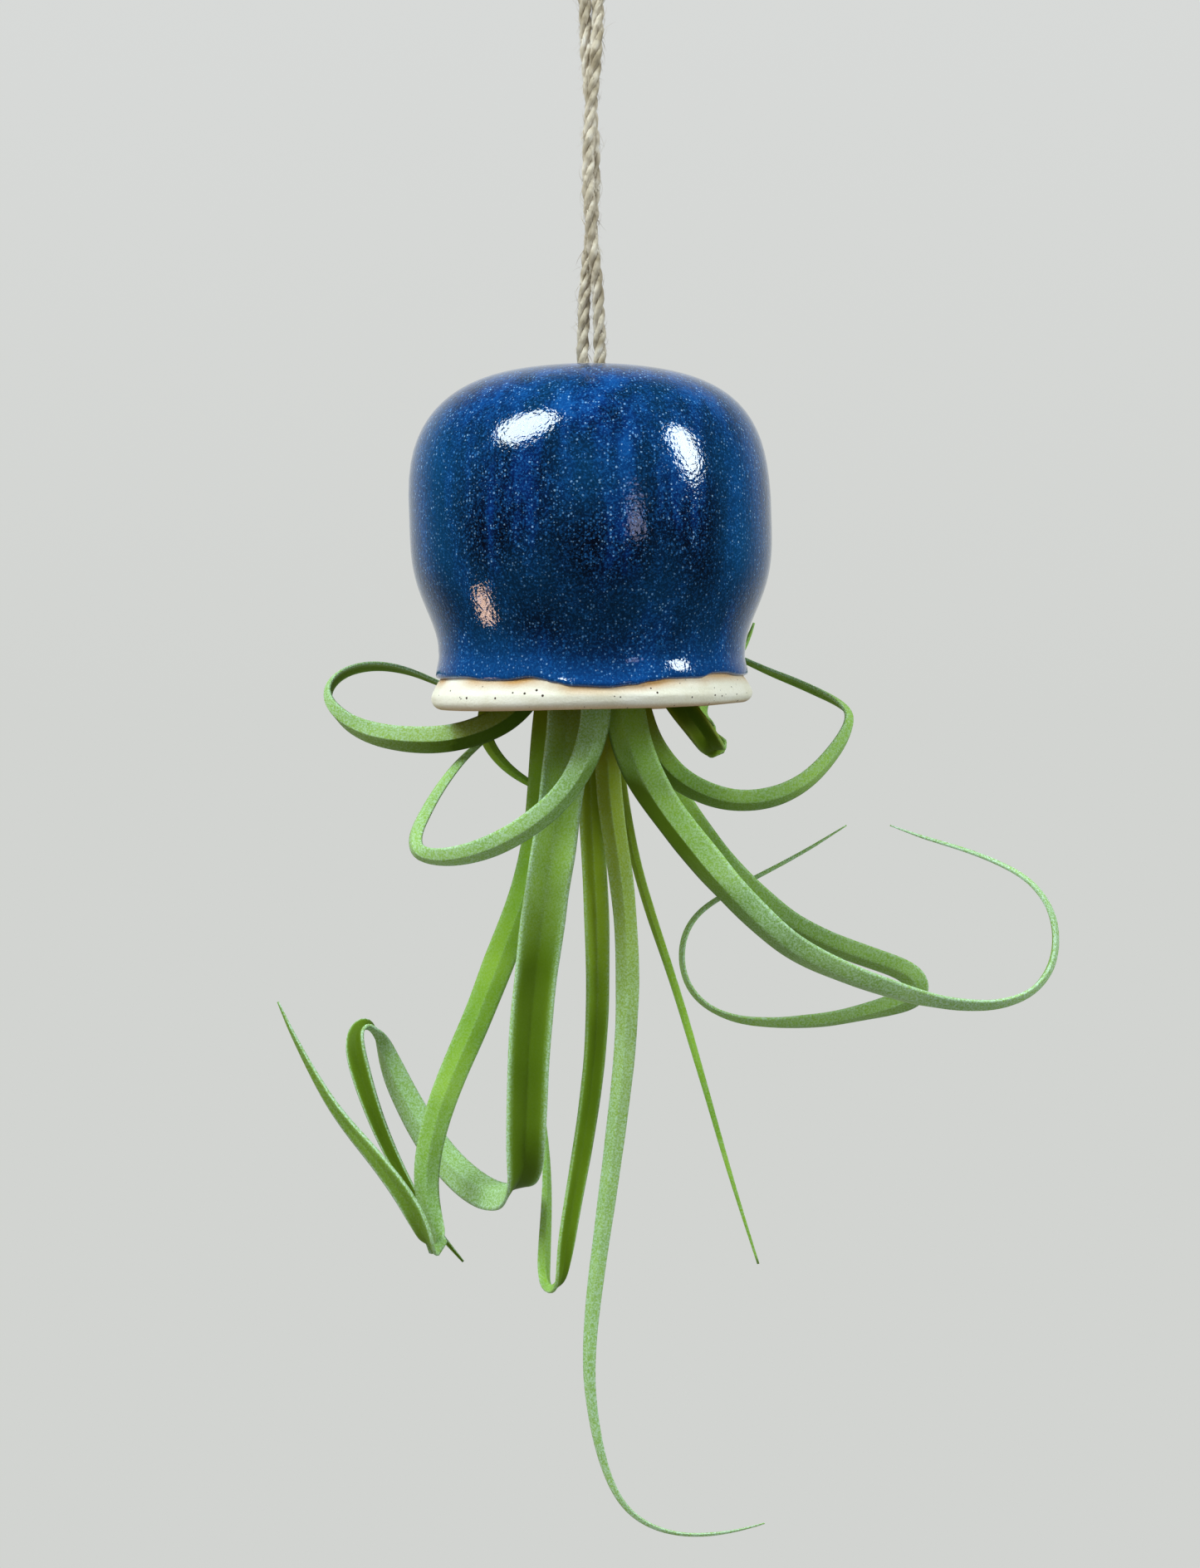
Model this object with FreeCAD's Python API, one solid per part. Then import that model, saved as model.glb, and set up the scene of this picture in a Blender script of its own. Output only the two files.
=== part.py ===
import FreeCAD, Part
import math
import os

# Air plant holder: a thrown stoneware bell that hangs mouth down on a doubled jute
# twine, with an air plant set head down in its neck. Millimetres, +Z up. The origin is
# the inside of the twine loop's bight, where a hook carries it. +Y points away from
# the front, and +X to the right.

# The bell, measured over its glaze
BELL_DIAMETER = 80.0
BELL_HEIGHT = 75.0
BELLY_HEIGHT = 40.0  # of the widest ring, above the rim
WAIST_DIAMETER = 67.8
WAIST_HEIGHT = 12.8
WALL = 4.6
CROWN_HOLE_DIAMETER = 9.0
DOME_EXPONENT = 3.0  # the squareness of the shoulder: 2 is round
FLANK_EASE = 1.5  # over 1, the flank keeps its width for longer below the belly
DOME_ARCS = 4
FLANK_ARCS = 3

# The bare clay rim under the waist
RIM_FLARE = 2.8  # how much wider its lip is than the waist
RIM_LIP = 1.9  # the lip's rounding, each side
RIM_BAND = 9.6  # how much narrower the mouth is than the lip

# The glaze
GLAZE = 0.5
GLAZE_EDGE_HEIGHT = 6.3  # of the run line above the rim, on average
GLAZE_EDGE_WAVE = 1.2
GLAZE_EDGE_CLEAR = 6.0  # how far the cutter's wavy top reaches either side of the glaze

# The twine and its knot
TWINE_DIAMETER = 2.4
TWINE_DROP = 100.0  # from the inside of the bight to the top of the crown
KNOT_DIAMETER = 13.6
KNOT_HEIGHT = 11.0
KNOT_FLAT = 1.1  # how much the crown flattens the knot's top coil
KNOT_LEAN = 58  # of its other two turns, in degrees
KNOT_TURNS = (20, 200)

# The plant
PLANT_DROP = 182.0  # from the rim to the lowest leaf tip
PLANT_BASE_DIAMETER = 20.0
PLANT_BASE_HEIGHT = 31.0
PLANT_BASE_RISE = 13.0  # of the base's lower end above the rim
NECK_LEAF_WIDTH = 8.0
NECK_LEAF_TAPER = 2.4
NECK_LEAF_CUP = 0.18
LEAF_KEEL = 1.15  # a leaf's thickness at its keel, where it is wide enough
LEAF_FULL_WIDTH = 3.25  # from which its keel is as thick as that
LEAF_THIN_SHARE = 0.35  # the keel's least thickness, of its full thickness
LEAF_EDGE_SHARE = 0.45  # its edge's thickness, of its keel's
TIP_WIDTH = 0.9
STEPS_PER_SPAN = 2

# Clearances and the overrun of every cut
SEAT_CLEARANCE = 0.3
OVERRUN = 5.0

# The photograph's frame, which the leaves' routes are written in: pixels right, pixels
# down and, for the depth that it can't show, pixels of the same size away from the viewer.
AXIS_PX = 712
RIM_PX = 855
LOWEST_TIP_PX = 1849
VIEW_DISTANCE = 520.0
PHOTO_WAIST = 67.8  # of the bell that the leaves' routes fit

RIM_DIAMETER = WAIST_DIAMETER + RIM_FLARE
MOUTH_DIAMETER = RIM_DIAMETER - RIM_BAND
CROWN_Z = -TWINE_DROP
RIM_Z = CROWN_Z - BELL_HEIGHT
KNOT_TOP_Z = CROWN_Z - GLAZE - WALL - SEAT_CLEARANCE
PIXEL = PLANT_DROP / (LOWEST_TIP_PX - RIM_PX)
SPREAD = WAIST_DIAMETER / PHOTO_WAIST  # the leaves spread as the neck is wide

# The twine's right leg, from the knot to the bight, whose middle is the last point. The
# left leg is the same leg turned half round about Z. Millimetres in x, y and z.
TWINE_LEG = [
    (1.90, 0.00, -105.40),
    (1.92, 0.05, -98.50),
    (1.80, -0.20, -91.00),
    (1.50, -0.60, -83.50),
    (0.80, -1.15, -76.50),
    (0.00, -1.35, -69.50),
    (-0.50, -1.26, -62.50),
    (-0.70, -1.18, -55.50),
    (-0.50, -1.26, -48.50),
    (0.00, -1.35, -41.50),
    (0.75, -1.15, -34.50),
    (1.22, -0.62, -28.00),
    (1.36, -0.15, -22.00),
    (1.60, 0.00, -17.00),
    (7.85, 0.00, -2.54),
    (0.00, 0.00, 2.44),
]


def point(x, y, z):
    return FreeCAD.Vector(x, y, z)


def save(node, shape):
    """Write one piece as its own file."""
    solids = shape.Solids
    piece = solids[0] if len(solids) == 1 else Part.makeCompound(solids)
    if not piece.isValid() or not solids:
        print("not valid:", node, len(solids), "solids")
    piece.exportStep("parts/" + node + ".step")
    print(node, len(solids), "solid,", round(piece.Volume, 1), "cubic mm")


# The bell and its glaze

def flank_radius(share):
    """The bell's radius at a share of the way down from its belly to its waist."""
    swell = (1 + math.cos(math.pi * share ** FLANK_EASE)) / 2
    return (WAIST_DIAMETER + (BELL_DIAMETER - WAIST_DIAMETER) * swell) / 2


def bell_line(inset, first_radius):
    """The bell's outline from its crown to its waist, moved in from the glaze."""
    belly = BELL_DIAMETER / 2
    dome_rise = BELL_HEIGHT - BELLY_HEIGHT
    spots = []
    for step in range(2 * DOME_ARCS + 1):
        swing = math.sin(step * math.pi / 4 / DOME_ARCS)
        radius = first_radius + (belly - first_radius) * swing
        rise = (1 - (radius / belly) ** DOME_EXPONENT) ** (1 / DOME_EXPONENT)
        spots.append(point(radius, 0, RIM_Z + BELLY_HEIGHT + dome_rise * rise))
    for step in range(1, 2 * FLANK_ARCS + 1):
        share = step / (2 * FLANK_ARCS)
        drop = (BELLY_HEIGHT - WAIST_HEIGHT) * share
        spots.append(point(flank_radius(share), 0, RIM_Z + BELLY_HEIGHT - drop))
    moved = []
    for place, spot in enumerate(spots):
        ahead = spots[min(place + 1, len(spots) - 1)]
        behind = spots[max(place - 1, 0)]
        if place == 0:
            along = point(1, 0, 0)
        elif place == len(spots) - 1:
            along = point(0, 0, -1)
        else:
            along = (ahead - behind).normalize()
        moved.append(spot + point(along.z, 0, -along.x) * inset)
    return moved


def arcs(points):
    """Arcs through the points, from each second one to the next second one."""
    threes = zip(points[0::2], points[1::2], points[2::2])
    return [Part.Arc(start, middle, end).toShape() for start, middle, end in threes]


def line(start, end):
    return Part.LineSegment(start, end).toShape()


def lathe(edges):
    """A solid of revolution about Z from a closed outline."""
    face = Part.Face(Part.Wire(Part.__sortEdges__(edges)))
    return face.revolve(point(0, 0, 0), point(0, 0, 1), 360)


def clay_outside():
    return bell_line(GLAZE, CROWN_HOLE_DIAMETER / 2)


def neck_wall(height):
    """The neck's inner radius at a height above the rim: its throat, then its flank."""
    if height > WAIST_HEIGHT:
        share = (BELLY_HEIGHT - height) / (BELLY_HEIGHT - WAIST_HEIGHT)
        return flank_radius(max(share, 0)) - GLAZE - WALL
    neck = WAIST_DIAMETER / 2 - GLAZE - WALL
    mouth = MOUTH_DIAMETER / 2
    return mouth + (neck - mouth) * max(height - RIM_LIP, 0) / (WAIST_HEIGHT - RIM_LIP)


def make_bell_body():
    """The thrown clay: its wall, its flared bare rim and the hole in its crown."""
    outside = clay_outside()
    inside = bell_line(GLAZE + WALL, CROWN_HOLE_DIAMETER / 2)
    waist = outside[-1]
    neck = inside[-1]
    lip = RIM_DIAMETER / 2
    mouth = MOUTH_DIAMETER / 2
    flare = [
        waist,
        point(waist.x - RIM_LIP * 0.1, 0, RIM_Z + WAIST_HEIGHT * 0.72),
        point(waist.x, 0, RIM_Z + WAIST_HEIGHT * 0.52),
        point(lip - RIM_LIP * 0.3, 0, RIM_Z + RIM_LIP * 2.3),
        point(lip, 0, RIM_Z + RIM_LIP * 1.5),
        point(lip - RIM_LIP * 0.25, 0, RIM_Z + RIM_LIP * 0.5),
        point(lip - RIM_LIP, 0, RIM_Z),
    ]
    bottom = line(flare[-1], point(mouth + RIM_LIP, 0, RIM_Z))
    round_in = Part.Arc(
        point(mouth + RIM_LIP, 0, RIM_Z),
        point(mouth + RIM_LIP * 0.29, 0, RIM_Z + RIM_LIP * 0.29),
        point(mouth, 0, RIM_Z + RIM_LIP),
    ).toShape()
    throat = line(point(mouth, 0, RIM_Z + RIM_LIP), neck)
    hole = line(inside[0], outside[0])
    return lathe(arcs(outside) + arcs(flare) + [bottom, round_in, throat] + arcs(inside) + [hole])


# The glaze's run line, as shares of its wave, every 22.5 degrees from the front to the right
GLAZE_RUN_SHARES = [
    -1.10, -0.10, 0.35, 0.85, 0.55, -0.35, 0.40, -0.60,
    0.50, 0.75, -0.40, 0.30, 0.50, 0.60, 0.35, 0.70,
]


def make_glaze_coat(clay_body):
    """The glaze: a skin on the clay from the crown's hole to a wavy run line."""
    outer = bell_line(0, CROWN_HOLE_DIAMETER / 2)
    clay = clay_outside()
    lowest = RIM_Z + GLAZE_EDGE_HEIGHT - 2 * GLAZE_EDGE_WAVE
    clay_foot = point(clay[-1].x, 0, lowest)
    outer_foot = point(outer[-1].x, 0, lowest)
    coat = lathe(arcs(outer) + arcs(clay) + [
        line(outer[-1], outer_foot), line(outer_foot, clay_foot),
        line(clay_foot, clay[-1]), line(clay[0], outer[0]),
    ])
    rings = []
    for radius in (clay_foot.x - GLAZE_EDGE_CLEAR, outer_foot.x + GLAZE_EDGE_CLEAR):
        run = []
        for place, share in enumerate(GLAZE_RUN_SHARES):
            turn = place * 2 * math.pi / len(GLAZE_RUN_SHARES)
            height = GLAZE_EDGE_HEIGHT + GLAZE_EDGE_WAVE * share
            run.append(point(radius * math.sin(turn), -radius * math.cos(turn), RIM_Z + height))
        ring = Part.BSplineCurve()
        ring.interpolate(run, True)
        rings.append(ring.toShape())
    wavy = Part.makeRuledSurface(rings[0], rings[1])
    below = wavy.extrude(point(0, 0, -(GLAZE_EDGE_HEIGHT + OVERRUN)))
    return coat.cut(below).cut(clay_body)


# The twine and its knot

def twine_route():
    """The whole loop's points: up the right leg, over the hook and down the left leg."""
    up = [point(*spot) for spot in TWINE_LEG]
    down = [point(-x, -y, z) for x, y, z in reversed(TWINE_LEG[:-1])]
    start = point(up[0].x, up[0].y, KNOT_TOP_Z)
    end = point(down[-1].x, down[-1].y, KNOT_TOP_Z)
    return [start] + up[1:] + down[:-1] + [end]


def make_twine():
    """A tube on straight runs joined by tangent arcs, each as large as its runs allow."""
    route = twine_route()
    edges = []
    radii = []
    last = route[0]
    for before, corner, after in zip(route, route[1:], route[2:]):
        back = before - corner
        on = after - corner
        half_turn = (math.pi - back.getAngle(on)) / 2
        reach = 0.45 * min(back.Length, on.Length)
        radius = reach / math.tan(half_turn)
        radii.append(radius)
        start = corner + back.normalize() * reach
        end = corner + on.normalize() * reach
        inward = (back + on).normalize()
        middle = corner + inward * radius * (1 / math.cos(half_turn) - 1)
        edges.append(line(last, start))
        edges.append(Part.Arc(start, middle, end).toShape())
        last = end
    edges.append(line(last, route[-1]))
    path = Part.Wire(edges)
    section = Part.Wire(Part.Circle(
        route[0], (route[1] - route[0]).normalize(), TWINE_DIAMETER / 2).toShape())
    tube = Part.BRepOffsetAPI.MakePipeShell(path)
    tube.setTransitionMode(0)
    tube.add(section)
    tube.build()
    tube.makeSolid()
    solid = tube.shape()
    want = math.pi * TWINE_DIAMETER ** 2 / 4 * path.Length
    print("twine length", round(path.Length, 1), "radii", [round(r, 1) for r in radii])
    print("twine volume", round(solid.Volume, 1), "section times length", round(want, 1))
    return solid


def make_stopper_knot():
    """Three turns of the twine drawn tight over each other, and flat where the crown sits."""
    thick = TWINE_DIAMETER
    middle = point(0, 0, KNOT_TOP_Z - KNOT_HEIGHT / 2)
    ring = KNOT_DIAMETER / 2 - thick
    top = point(0, 0, KNOT_TOP_Z - thick + KNOT_FLAT)
    knot = Part.makeTorus(ring, thick, top, point(0, 0, 1))
    knot = knot.fuse(Part.makeSphere(KNOT_HEIGHT / 2 - thick / 3, middle))
    for turn in KNOT_TURNS:
        side = point(math.cos(math.radians(turn)), math.sin(math.radians(turn)), 0)
        axis = side * math.sin(math.radians(KNOT_LEAN))
        axis = axis + point(0, 0, math.cos(math.radians(KNOT_LEAN)))
        knot = knot.fuse(Part.makeTorus(ring - thick / 3, thick * 0.8, middle, axis))
    bound = 2 * KNOT_DIAMETER
    above = Part.makeBox(bound, bound, bound, point(-bound / 2, -bound / 2, KNOT_TOP_Z))
    return knot.cut(above)


# The plant

# The base's outline, from its lower end up: shares of its radius and of its height
BASE_SHARES = [(0.78, 0.0), (0.96, 0.18), (1.0, 0.40), (0.78, 0.72), (0.34, 1.0)]


def make_plant_base():
    """The rolled leaf bases, a bulb with the cut stem at its top."""
    foot_z = RIM_Z + PLANT_BASE_RISE
    side = [
        point(PLANT_BASE_DIAMETER / 2 * wide, 0, foot_z + PLANT_BASE_HEIGHT * high)
        for wide, high in BASE_SHARES
    ]
    foot = point(0, 0, side[0].z)
    head = point(0, 0, side[-1].z)
    return lathe(arcs(side) + [line(side[-1], head), line(head, foot), line(foot, side[0])])


def leaf_spot(right, down, away):
    """The place of a photograph's pixel that lies the given number of pixels away."""
    stretch = 1 + away * PIXEL / VIEW_DISTANCE
    return point(
        (right - AXIS_PX) * PIXEL * stretch * SPREAD,
        away * PIXEL * SPREAD,
        RIM_Z - (down - RIM_PX) * PIXEL * stretch,
    )


def leaf_line(guide):
    """Places and face turns along a leaf: a smooth cubic line led by its guide's."""
    before = (guide[0][0] * 2 - guide[1][0], guide[0][1])
    after = (guide[-1][0] * 2 - guide[-2][0], guide[-1][1])
    guide = [before] + guide + [after]
    places = []
    for span in range(len(guide) - 3):
        last_span = span == len(guide) - 4
        for step in range(STEPS_PER_SPAN + (1 if last_span else 0)):
            t = step / STEPS_PER_SPAN
            weights = (
                (1 - t) ** 3 / 6,
                (3 * t ** 3 - 6 * t ** 2 + 4) / 6,
                (-3 * t ** 3 + 3 * t ** 2 + 3 * t + 1) / 6,
                t ** 3 / 6,
            )
            near = guide[span:span + 4]
            spot = point(0, 0, 0)
            turn = 0
            for weight, (place, face_turn) in zip(weights, near):
                spot = spot + place * weight
                turn += face_turn * weight
            places.append((spot, turn))
    return places


def leaf_width(share, width, taper):
    """A leaf's width at a share of its length."""
    return TIP_WIDTH + (width - TIP_WIDTH) * (1 - share ** taper)


def leaf_section(spot, side, face, width, cup):
    """A channelled section: its keel at the spot, its two edges raised along the face."""
    half = width / 2
    deep = width * cup
    fullness = min(1, width / LEAF_FULL_WIDTH)
    thick = LEAF_KEEL * (LEAF_THIN_SHARE + (1 - LEAF_THIN_SHARE) * fullness)
    edge = thick * LEAF_EDGE_SHARE
    outline = [
        (-half, deep), (-half * 0.5, deep * 0.4), (0, 0), (half * 0.5, deep * 0.4),
        (half, deep), (half - edge, deep + edge * 0.8),
        (half * 0.42, deep * 0.34 + thick * 0.75), (0, thick),
        (-half * 0.42, deep * 0.34 + thick * 0.75), (-half + edge, deep + edge * 0.8),
    ]
    corners = [spot + side * across + face * out for across, out in outline]
    return Part.makePolygon(corners + [corners[0]])


def make_leaf(guide, width, taper, cup):
    """A leaf as a ruled loft through its sections. A turn says where its channel opens:
    at 0 to the left of its way, at 90 to the viewer and at -90 away from them."""
    places = leaf_line(guide)
    lengths = [0.0]
    for (here, _), (there, _) in zip(places, places[1:]):
        lengths.append(lengths[-1] + (there - here).Length)
    viewer = point(0, -1, 0)
    sections = []
    for number, (spot, turn) in enumerate(places):
        ahead = places[min(number + 1, len(places) - 1)][0]
        behind = places[max(number - 1, 0)][0]
        way = (ahead - behind).normalize()
        left = viewer.cross(way).normalize()
        front = way.cross(left).normalize()
        angle = math.radians(turn)
        face = left * math.cos(angle) + front * math.sin(angle)
        side = way.cross(face)
        share = lengths[number] / lengths[-1]
        wide = leaf_width(share, width, taper)
        sections.append(leaf_section(spot, side, face, wide, cup))
    return Part.makeLoft(sections, True, True)


# Each leaf: its width in pixels, the power of its taper, its channel's depth as a share of
# its width, and rows of pixels right, down and away and the turn of its face in degrees.
LEAF_PIXELS = {
    "leaf_left_loop": (38, 1.8, 0.26, [
        (676, 730, -8, -100), (662, 785, -10, -105), (640, 838, -12, -105),
        (610, 868, -16, -105), (575, 884, -20, -105), (538, 893, -20, -105),
        (498, 894, -16, -105), (452, 889, -8, -110), (412, 874, 6, -130),
        (389, 850, 22, -160), (388, 824, 42, -190), (410, 804, 66, -205),
        (442, 796, 92, -210), (476, 799, 120, -210), (505, 808, 150, -205),
        (530, 820, 178, -200), (562, 832, 206, -200), (600, 840, 228, -200),
        (640, 842, 244, -200),
    ]),
    "leaf_front_loop": (36, 2.4, 0.24, [
        (716, 715, -42, -90), (719, 775, -76, -90), (719, 830, -94, -95),
        (719, 868, -104, -100), (714, 898, -112, -110), (700, 935, -118, -120),
        (676, 968, -120, -120), (640, 997, -116, -115), (600, 1020, -108, -112),
        (558, 1034, -96, -115), (522, 1038, -82, -130), (496, 1029, -66, -160),
        (494, 1004, -50, -170), (508, 978, -34, -165), (524, 950, -18, -165),
        (547, 920, -2, -165), (571, 897, 12, -160), (594, 879, 22, -150),
        (616, 866, 28, -150), (640, 855, 34, -150),
    ]),
    "leaf_back_strap": (28, 1.6, 0.16, [
        (682, 715, 28, -80), (640, 770, 42, -80), (600, 820, 52, -80),
        (582, 858, 58, -80), (582, 884, 62, -80), (593, 906, 66, -80),
        (612, 927, 70, -80), (636, 943, 74, -80), (664, 956, 78, -80),
        (692, 966, 80, -80),
    ]),
    "leaf_broad": (54, 2.6, 0.26, [
        (695, 765, -26, 90), (689, 800, -42, 90), (686, 850, -54, 85),
        (681, 900, -58, 80), (673, 950, -56, 75), (667, 1000, -52, 75),
        (658, 1060, -46, 80), (651, 1120, -40, 85), (643, 1190, -34, 88),
        (637, 1260, -30, 90), (635, 1330, -26, 90), (632, 1380, -20, 85),
        (627, 1414, -8, 55), (613, 1430, 16, 5), (592, 1436, 44, -40),
        (566, 1425, 64, -70), (543, 1405, 76, -80), (520, 1378, 86, -85),
        (498, 1343, 92, -90), (475, 1302, 98, -100), (457, 1263, 102, -130),
        (446, 1238, 96, -170), (434, 1240, 84, -215), (430, 1262, 76, -250),
        (436, 1294, 70, -265), (448, 1333, 64, -270), (463, 1371, 58, -270),
        (484, 1414, 52, -270), (508, 1456, 46, -270), (532, 1489, 42, -270),
        (558, 1519, 38, -270),
    ]),
    "leaf_creased": (39, 3.0, 0.17, [
        (686, 760, 26, -90), (670, 805, 42, -90), (660, 857, 52, -90),
        (656, 920, 54, -90), (652, 985, 50, -90), (641, 1050, 44, -90),
        (620, 1110, 38, -90), (602, 1155, 34, -90), (587, 1195, 30, -90),
        (571, 1235, 26, -90), (553, 1275, 22, -90), (537, 1313, 18, -90),
        (524, 1352, 14, -90), (515, 1390, 10, -90), (512, 1428, 6, -90),
        (516, 1462, 2, -75), (526, 1496, -6, -40), (524, 1502, -24, 20),
        (507, 1472, -32, 70), (490, 1444, -34, 85), (468, 1413, -34, 85),
        (444, 1384, -34, 85), (421, 1357, -33, 80), (400, 1329, -32, 75),
        (382, 1299, -30, 70), (364, 1266, -28, 65), (349, 1236, -26, 60),
        (335, 1206, -24, 60),
    ]),
    "leaf_folded": (31, 3.2, 0.24, [
        (707, 765, 8, -80), (709, 815, 10, -80), (710, 870, 12, -80),
        (709, 925, 12, -78), (711, 980, 10, -76), (714, 1035, 10, -74),
        (717, 1095, 9, -70), (718, 1155, 8, -60), (718, 1215, 7, -30),
        (714, 1278, 5, 20), (706, 1340, 3, 55), (697, 1397, 1, 65),
        (687, 1452, -1, 70), (679, 1502, -1, 68), (672, 1542, 4, 40),
        (661, 1552, 18, -20), (656, 1530, 28, -65), (657, 1488, 32, -80),
        (659, 1446, 34, -80), (659, 1402, 37, -80), (656, 1358, 40, -80),
        (650, 1316, 42, -80),
    ]),
    "leaf_trailing": (31, 1.9, 0.22, [
        (722, 765, -8, -90), (726, 812, -8, -90), (729, 857, -10, -90),
        (731, 900, -12, -90), (733, 950, -14, -90), (739, 1000, -16, -90),
        (747, 1048, -18, -90), (753, 1102, -18, -90), (756, 1160, -18, -90),
        (755, 1218, -18, -85), (751, 1276, -18, -80), (744, 1335, -16, -80),
        (737, 1393, -14, -80), (729, 1452, -12, -80), (721, 1510, -10, -80),
        (713, 1568, -8, -75), (708, 1624, -8, -70), (708, 1668, -8, -65),
        (713, 1710, -8, -60), (721, 1750, -8, -55), (733, 1788, -8, -50),
        (751, 1819, -8, -45), (778, 1839, -8, -45), (812, 1850, -6, -45),
        (850, 1851, -4, -45), (888, 1845, -2, -45), (921, 1835, 0, -45),
    ]),
    "leaf_needle": (16, 1.5, 0.18, [
        (727, 765, 22, -70), (733, 812, 28, -70), (738, 865, 32, -70),
        (745, 930, 30, -70), (754, 990, 26, -70), (766, 1045, 20, -70),
        (784, 1105, 14, -70), (804, 1162, 10, -70), (822, 1219, 6, -70),
        (839, 1277, 2, -70), (856, 1335, 0, -70), (873, 1395, -2, -70),
        (892, 1457, -4, -70), (913, 1522, -6, -70),
    ]),
    "leaf_sweeping": (51, 1.7, 0.24, [
        (733, 730, -34, -80), (741, 785, -58, -80), (747, 838, -72, -78),
        (753, 880, -82, -75), (763, 918, -92, -70), (780, 952, -100, -66),
        (802, 985, -106, -62), (826, 1017, -110, -60), (851, 1048, -112, -58),
        (878, 1078, -112, -56), (905, 1106, -110, -55), (933, 1132, -108, -52),
        (965, 1155, -104, -50), (1004, 1173, -98, -48), (1050, 1191, -90, -44),
        (1100, 1208, -80, -38), (1154, 1219, -68, -30), (1206, 1217, -54, -20),
        (1248, 1200, -40, -12), (1272, 1168, -26, -8), (1278, 1130, -14, -6),
        (1269, 1090, -2, -6), (1245, 1058, 8, -6), (1206, 1036, 16, -8),
        (1155, 1018, 22, -10), (1110, 1006, 26, -10), (1072, 993, 30, -10),
    ]),
    "leaf_spiral": (38, 2.3, 0.24, [
        (733, 740, 34, -80), (746, 790, 42, -80), (760, 845, 46, -80),
        (774, 890, 54, -78), (798, 942, 62, -74), (836, 1002, 68, -70),
        (880, 1056, 72, -66), (924, 1098, 74, -62), (962, 1124, 76, -60),
        (1010, 1145, 80, -58), (1058, 1161, 84, -58), (1102, 1176, 90, -60),
        (1106, 1200, 100, -90), (1078, 1213, 108, -120), (1042, 1223, 112, -150),
        (1000, 1233, 114, -160), (950, 1238, 114, -165), (900, 1236, 112, -170),
        (860, 1224, 110, -175), (833, 1202, 108, -178), (819, 1175, 106, -180),
        (816, 1146, 104, -180), (822, 1119, 102, -180), (838, 1096, 100, -176),
        (864, 1078, 98, -172), (893, 1062, 96, -170), (920, 1048, 94, -168),
        (950, 1033, 92, -166), (982, 1015, 90, -165), (1019, 993, 88, -165),
    ]),
    "leaf_right_loop": (34, 2.1, 0.24, [
        (738, 760, 2, -70), (752, 805, 4, -72), (765, 850, 2, -74),
        (775, 884, 0, -74), (790, 912, -4, -72), (812, 938, -8, -70),
        (840, 955, -10, -66), (870, 966, -10, -62), (904, 969, -6, -60),
        (942, 962, 0, -60), (977, 942, 8, -56), (1006, 912, 18, -50),
        (1026, 882, 30, -40), (1030, 858, 44, -20), (1014, 842, 60, 10),
        (989, 830, 80, 25), (960, 818, 104, 30), (928, 806, 130, 30),
        (898, 793, 154, 30), (868, 779, 174, 30), (836, 766, 190, 30),
        (800, 754, 200, 30),
    ]),
    "leaf_cropped": (42, 1.15, 0.22, [
        (748, 715, 14, 70), (774, 770, 22, 70), (797, 818, 26, 70),
        (816, 850, 28, 72), (836, 873, 32, 78), (858, 897, 44, 110),
        (862, 899, 64, 165), (850, 882, 90, 225), (840, 864, 122, 255),
        (844, 844, 156, 265), (862, 822, 182, 268), (884, 799, 192, 270),
        (900, 773, 190, 270), (908, 750, 186, 270),
    ]),
}


# The short outer leaves that spring against the neck: their places round the axis, in
# degrees from the right, and their line, as shares of the way out from the base to the
# wall beside it and of the way up from the rim to the base's middle.
NECK_LEAVES = {"neck_leaf_right": -32, "neck_leaf_back": 98, "neck_leaf_left": 214}
NECK_LEAF_SHARES = [
    (-0.17, 0.93), (0.12, 0.97), (0.42, 0.94), (0.74, 0.78),
    (0.99, 0.54), (0.98, 0.32), (0.86, 0.12),
]


def make_neck_leaf():
    """One of them, out to the right: it bows out, bears on the neck and turns in again."""
    base = PLANT_BASE_DIAMETER / 2
    rise = PLANT_BASE_RISE + PLANT_BASE_HEIGHT / 2
    guide = []
    for out, up in NECK_LEAF_SHARES:
        room = neck_wall(rise * up) - SEAT_CLEARANCE - base
        guide.append((point(base + room * out, 0, RIM_Z + rise * up), 180))
    return make_leaf(guide, NECK_LEAF_WIDTH, NECK_LEAF_TAPER, NECK_LEAF_CUP)


def seat_leaf(node, leaf, base):
    """Cut a leaf's root where it meets the base, and write what is outside."""
    outside = leaf.cut(base).Solids
    save(node, max(outside, key=lambda solid: solid.Volume))


def make_plant():
    """The base, and every leaf seated on it."""
    base = make_plant_base()
    save("plant_base", base)
    for node, turn in NECK_LEAVES.items():
        leaf = make_neck_leaf()
        leaf.rotate(point(0, 0, 0), point(0, 0, 1), turn)
        seat_leaf(node, leaf, base)
    for node, (width, taper, cup, rows) in LEAF_PIXELS.items():
        guide = [(leaf_spot(*row[:3]), row[3]) for row in rows]
        seat_leaf(node, make_leaf(guide, width * PIXEL, taper, cup), base)


os.makedirs("parts", exist_ok=True)
bell_body = make_bell_body()
save("bell_body", bell_body)
save("glaze_coat", make_glaze_coat(bell_body))
save("twine", make_twine())
save("stopper_knot", make_stopper_knot())
make_plant()
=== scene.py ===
import math
import random

import bmesh
import bpy
from mathutils import Matrix, Vector, noise


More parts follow.
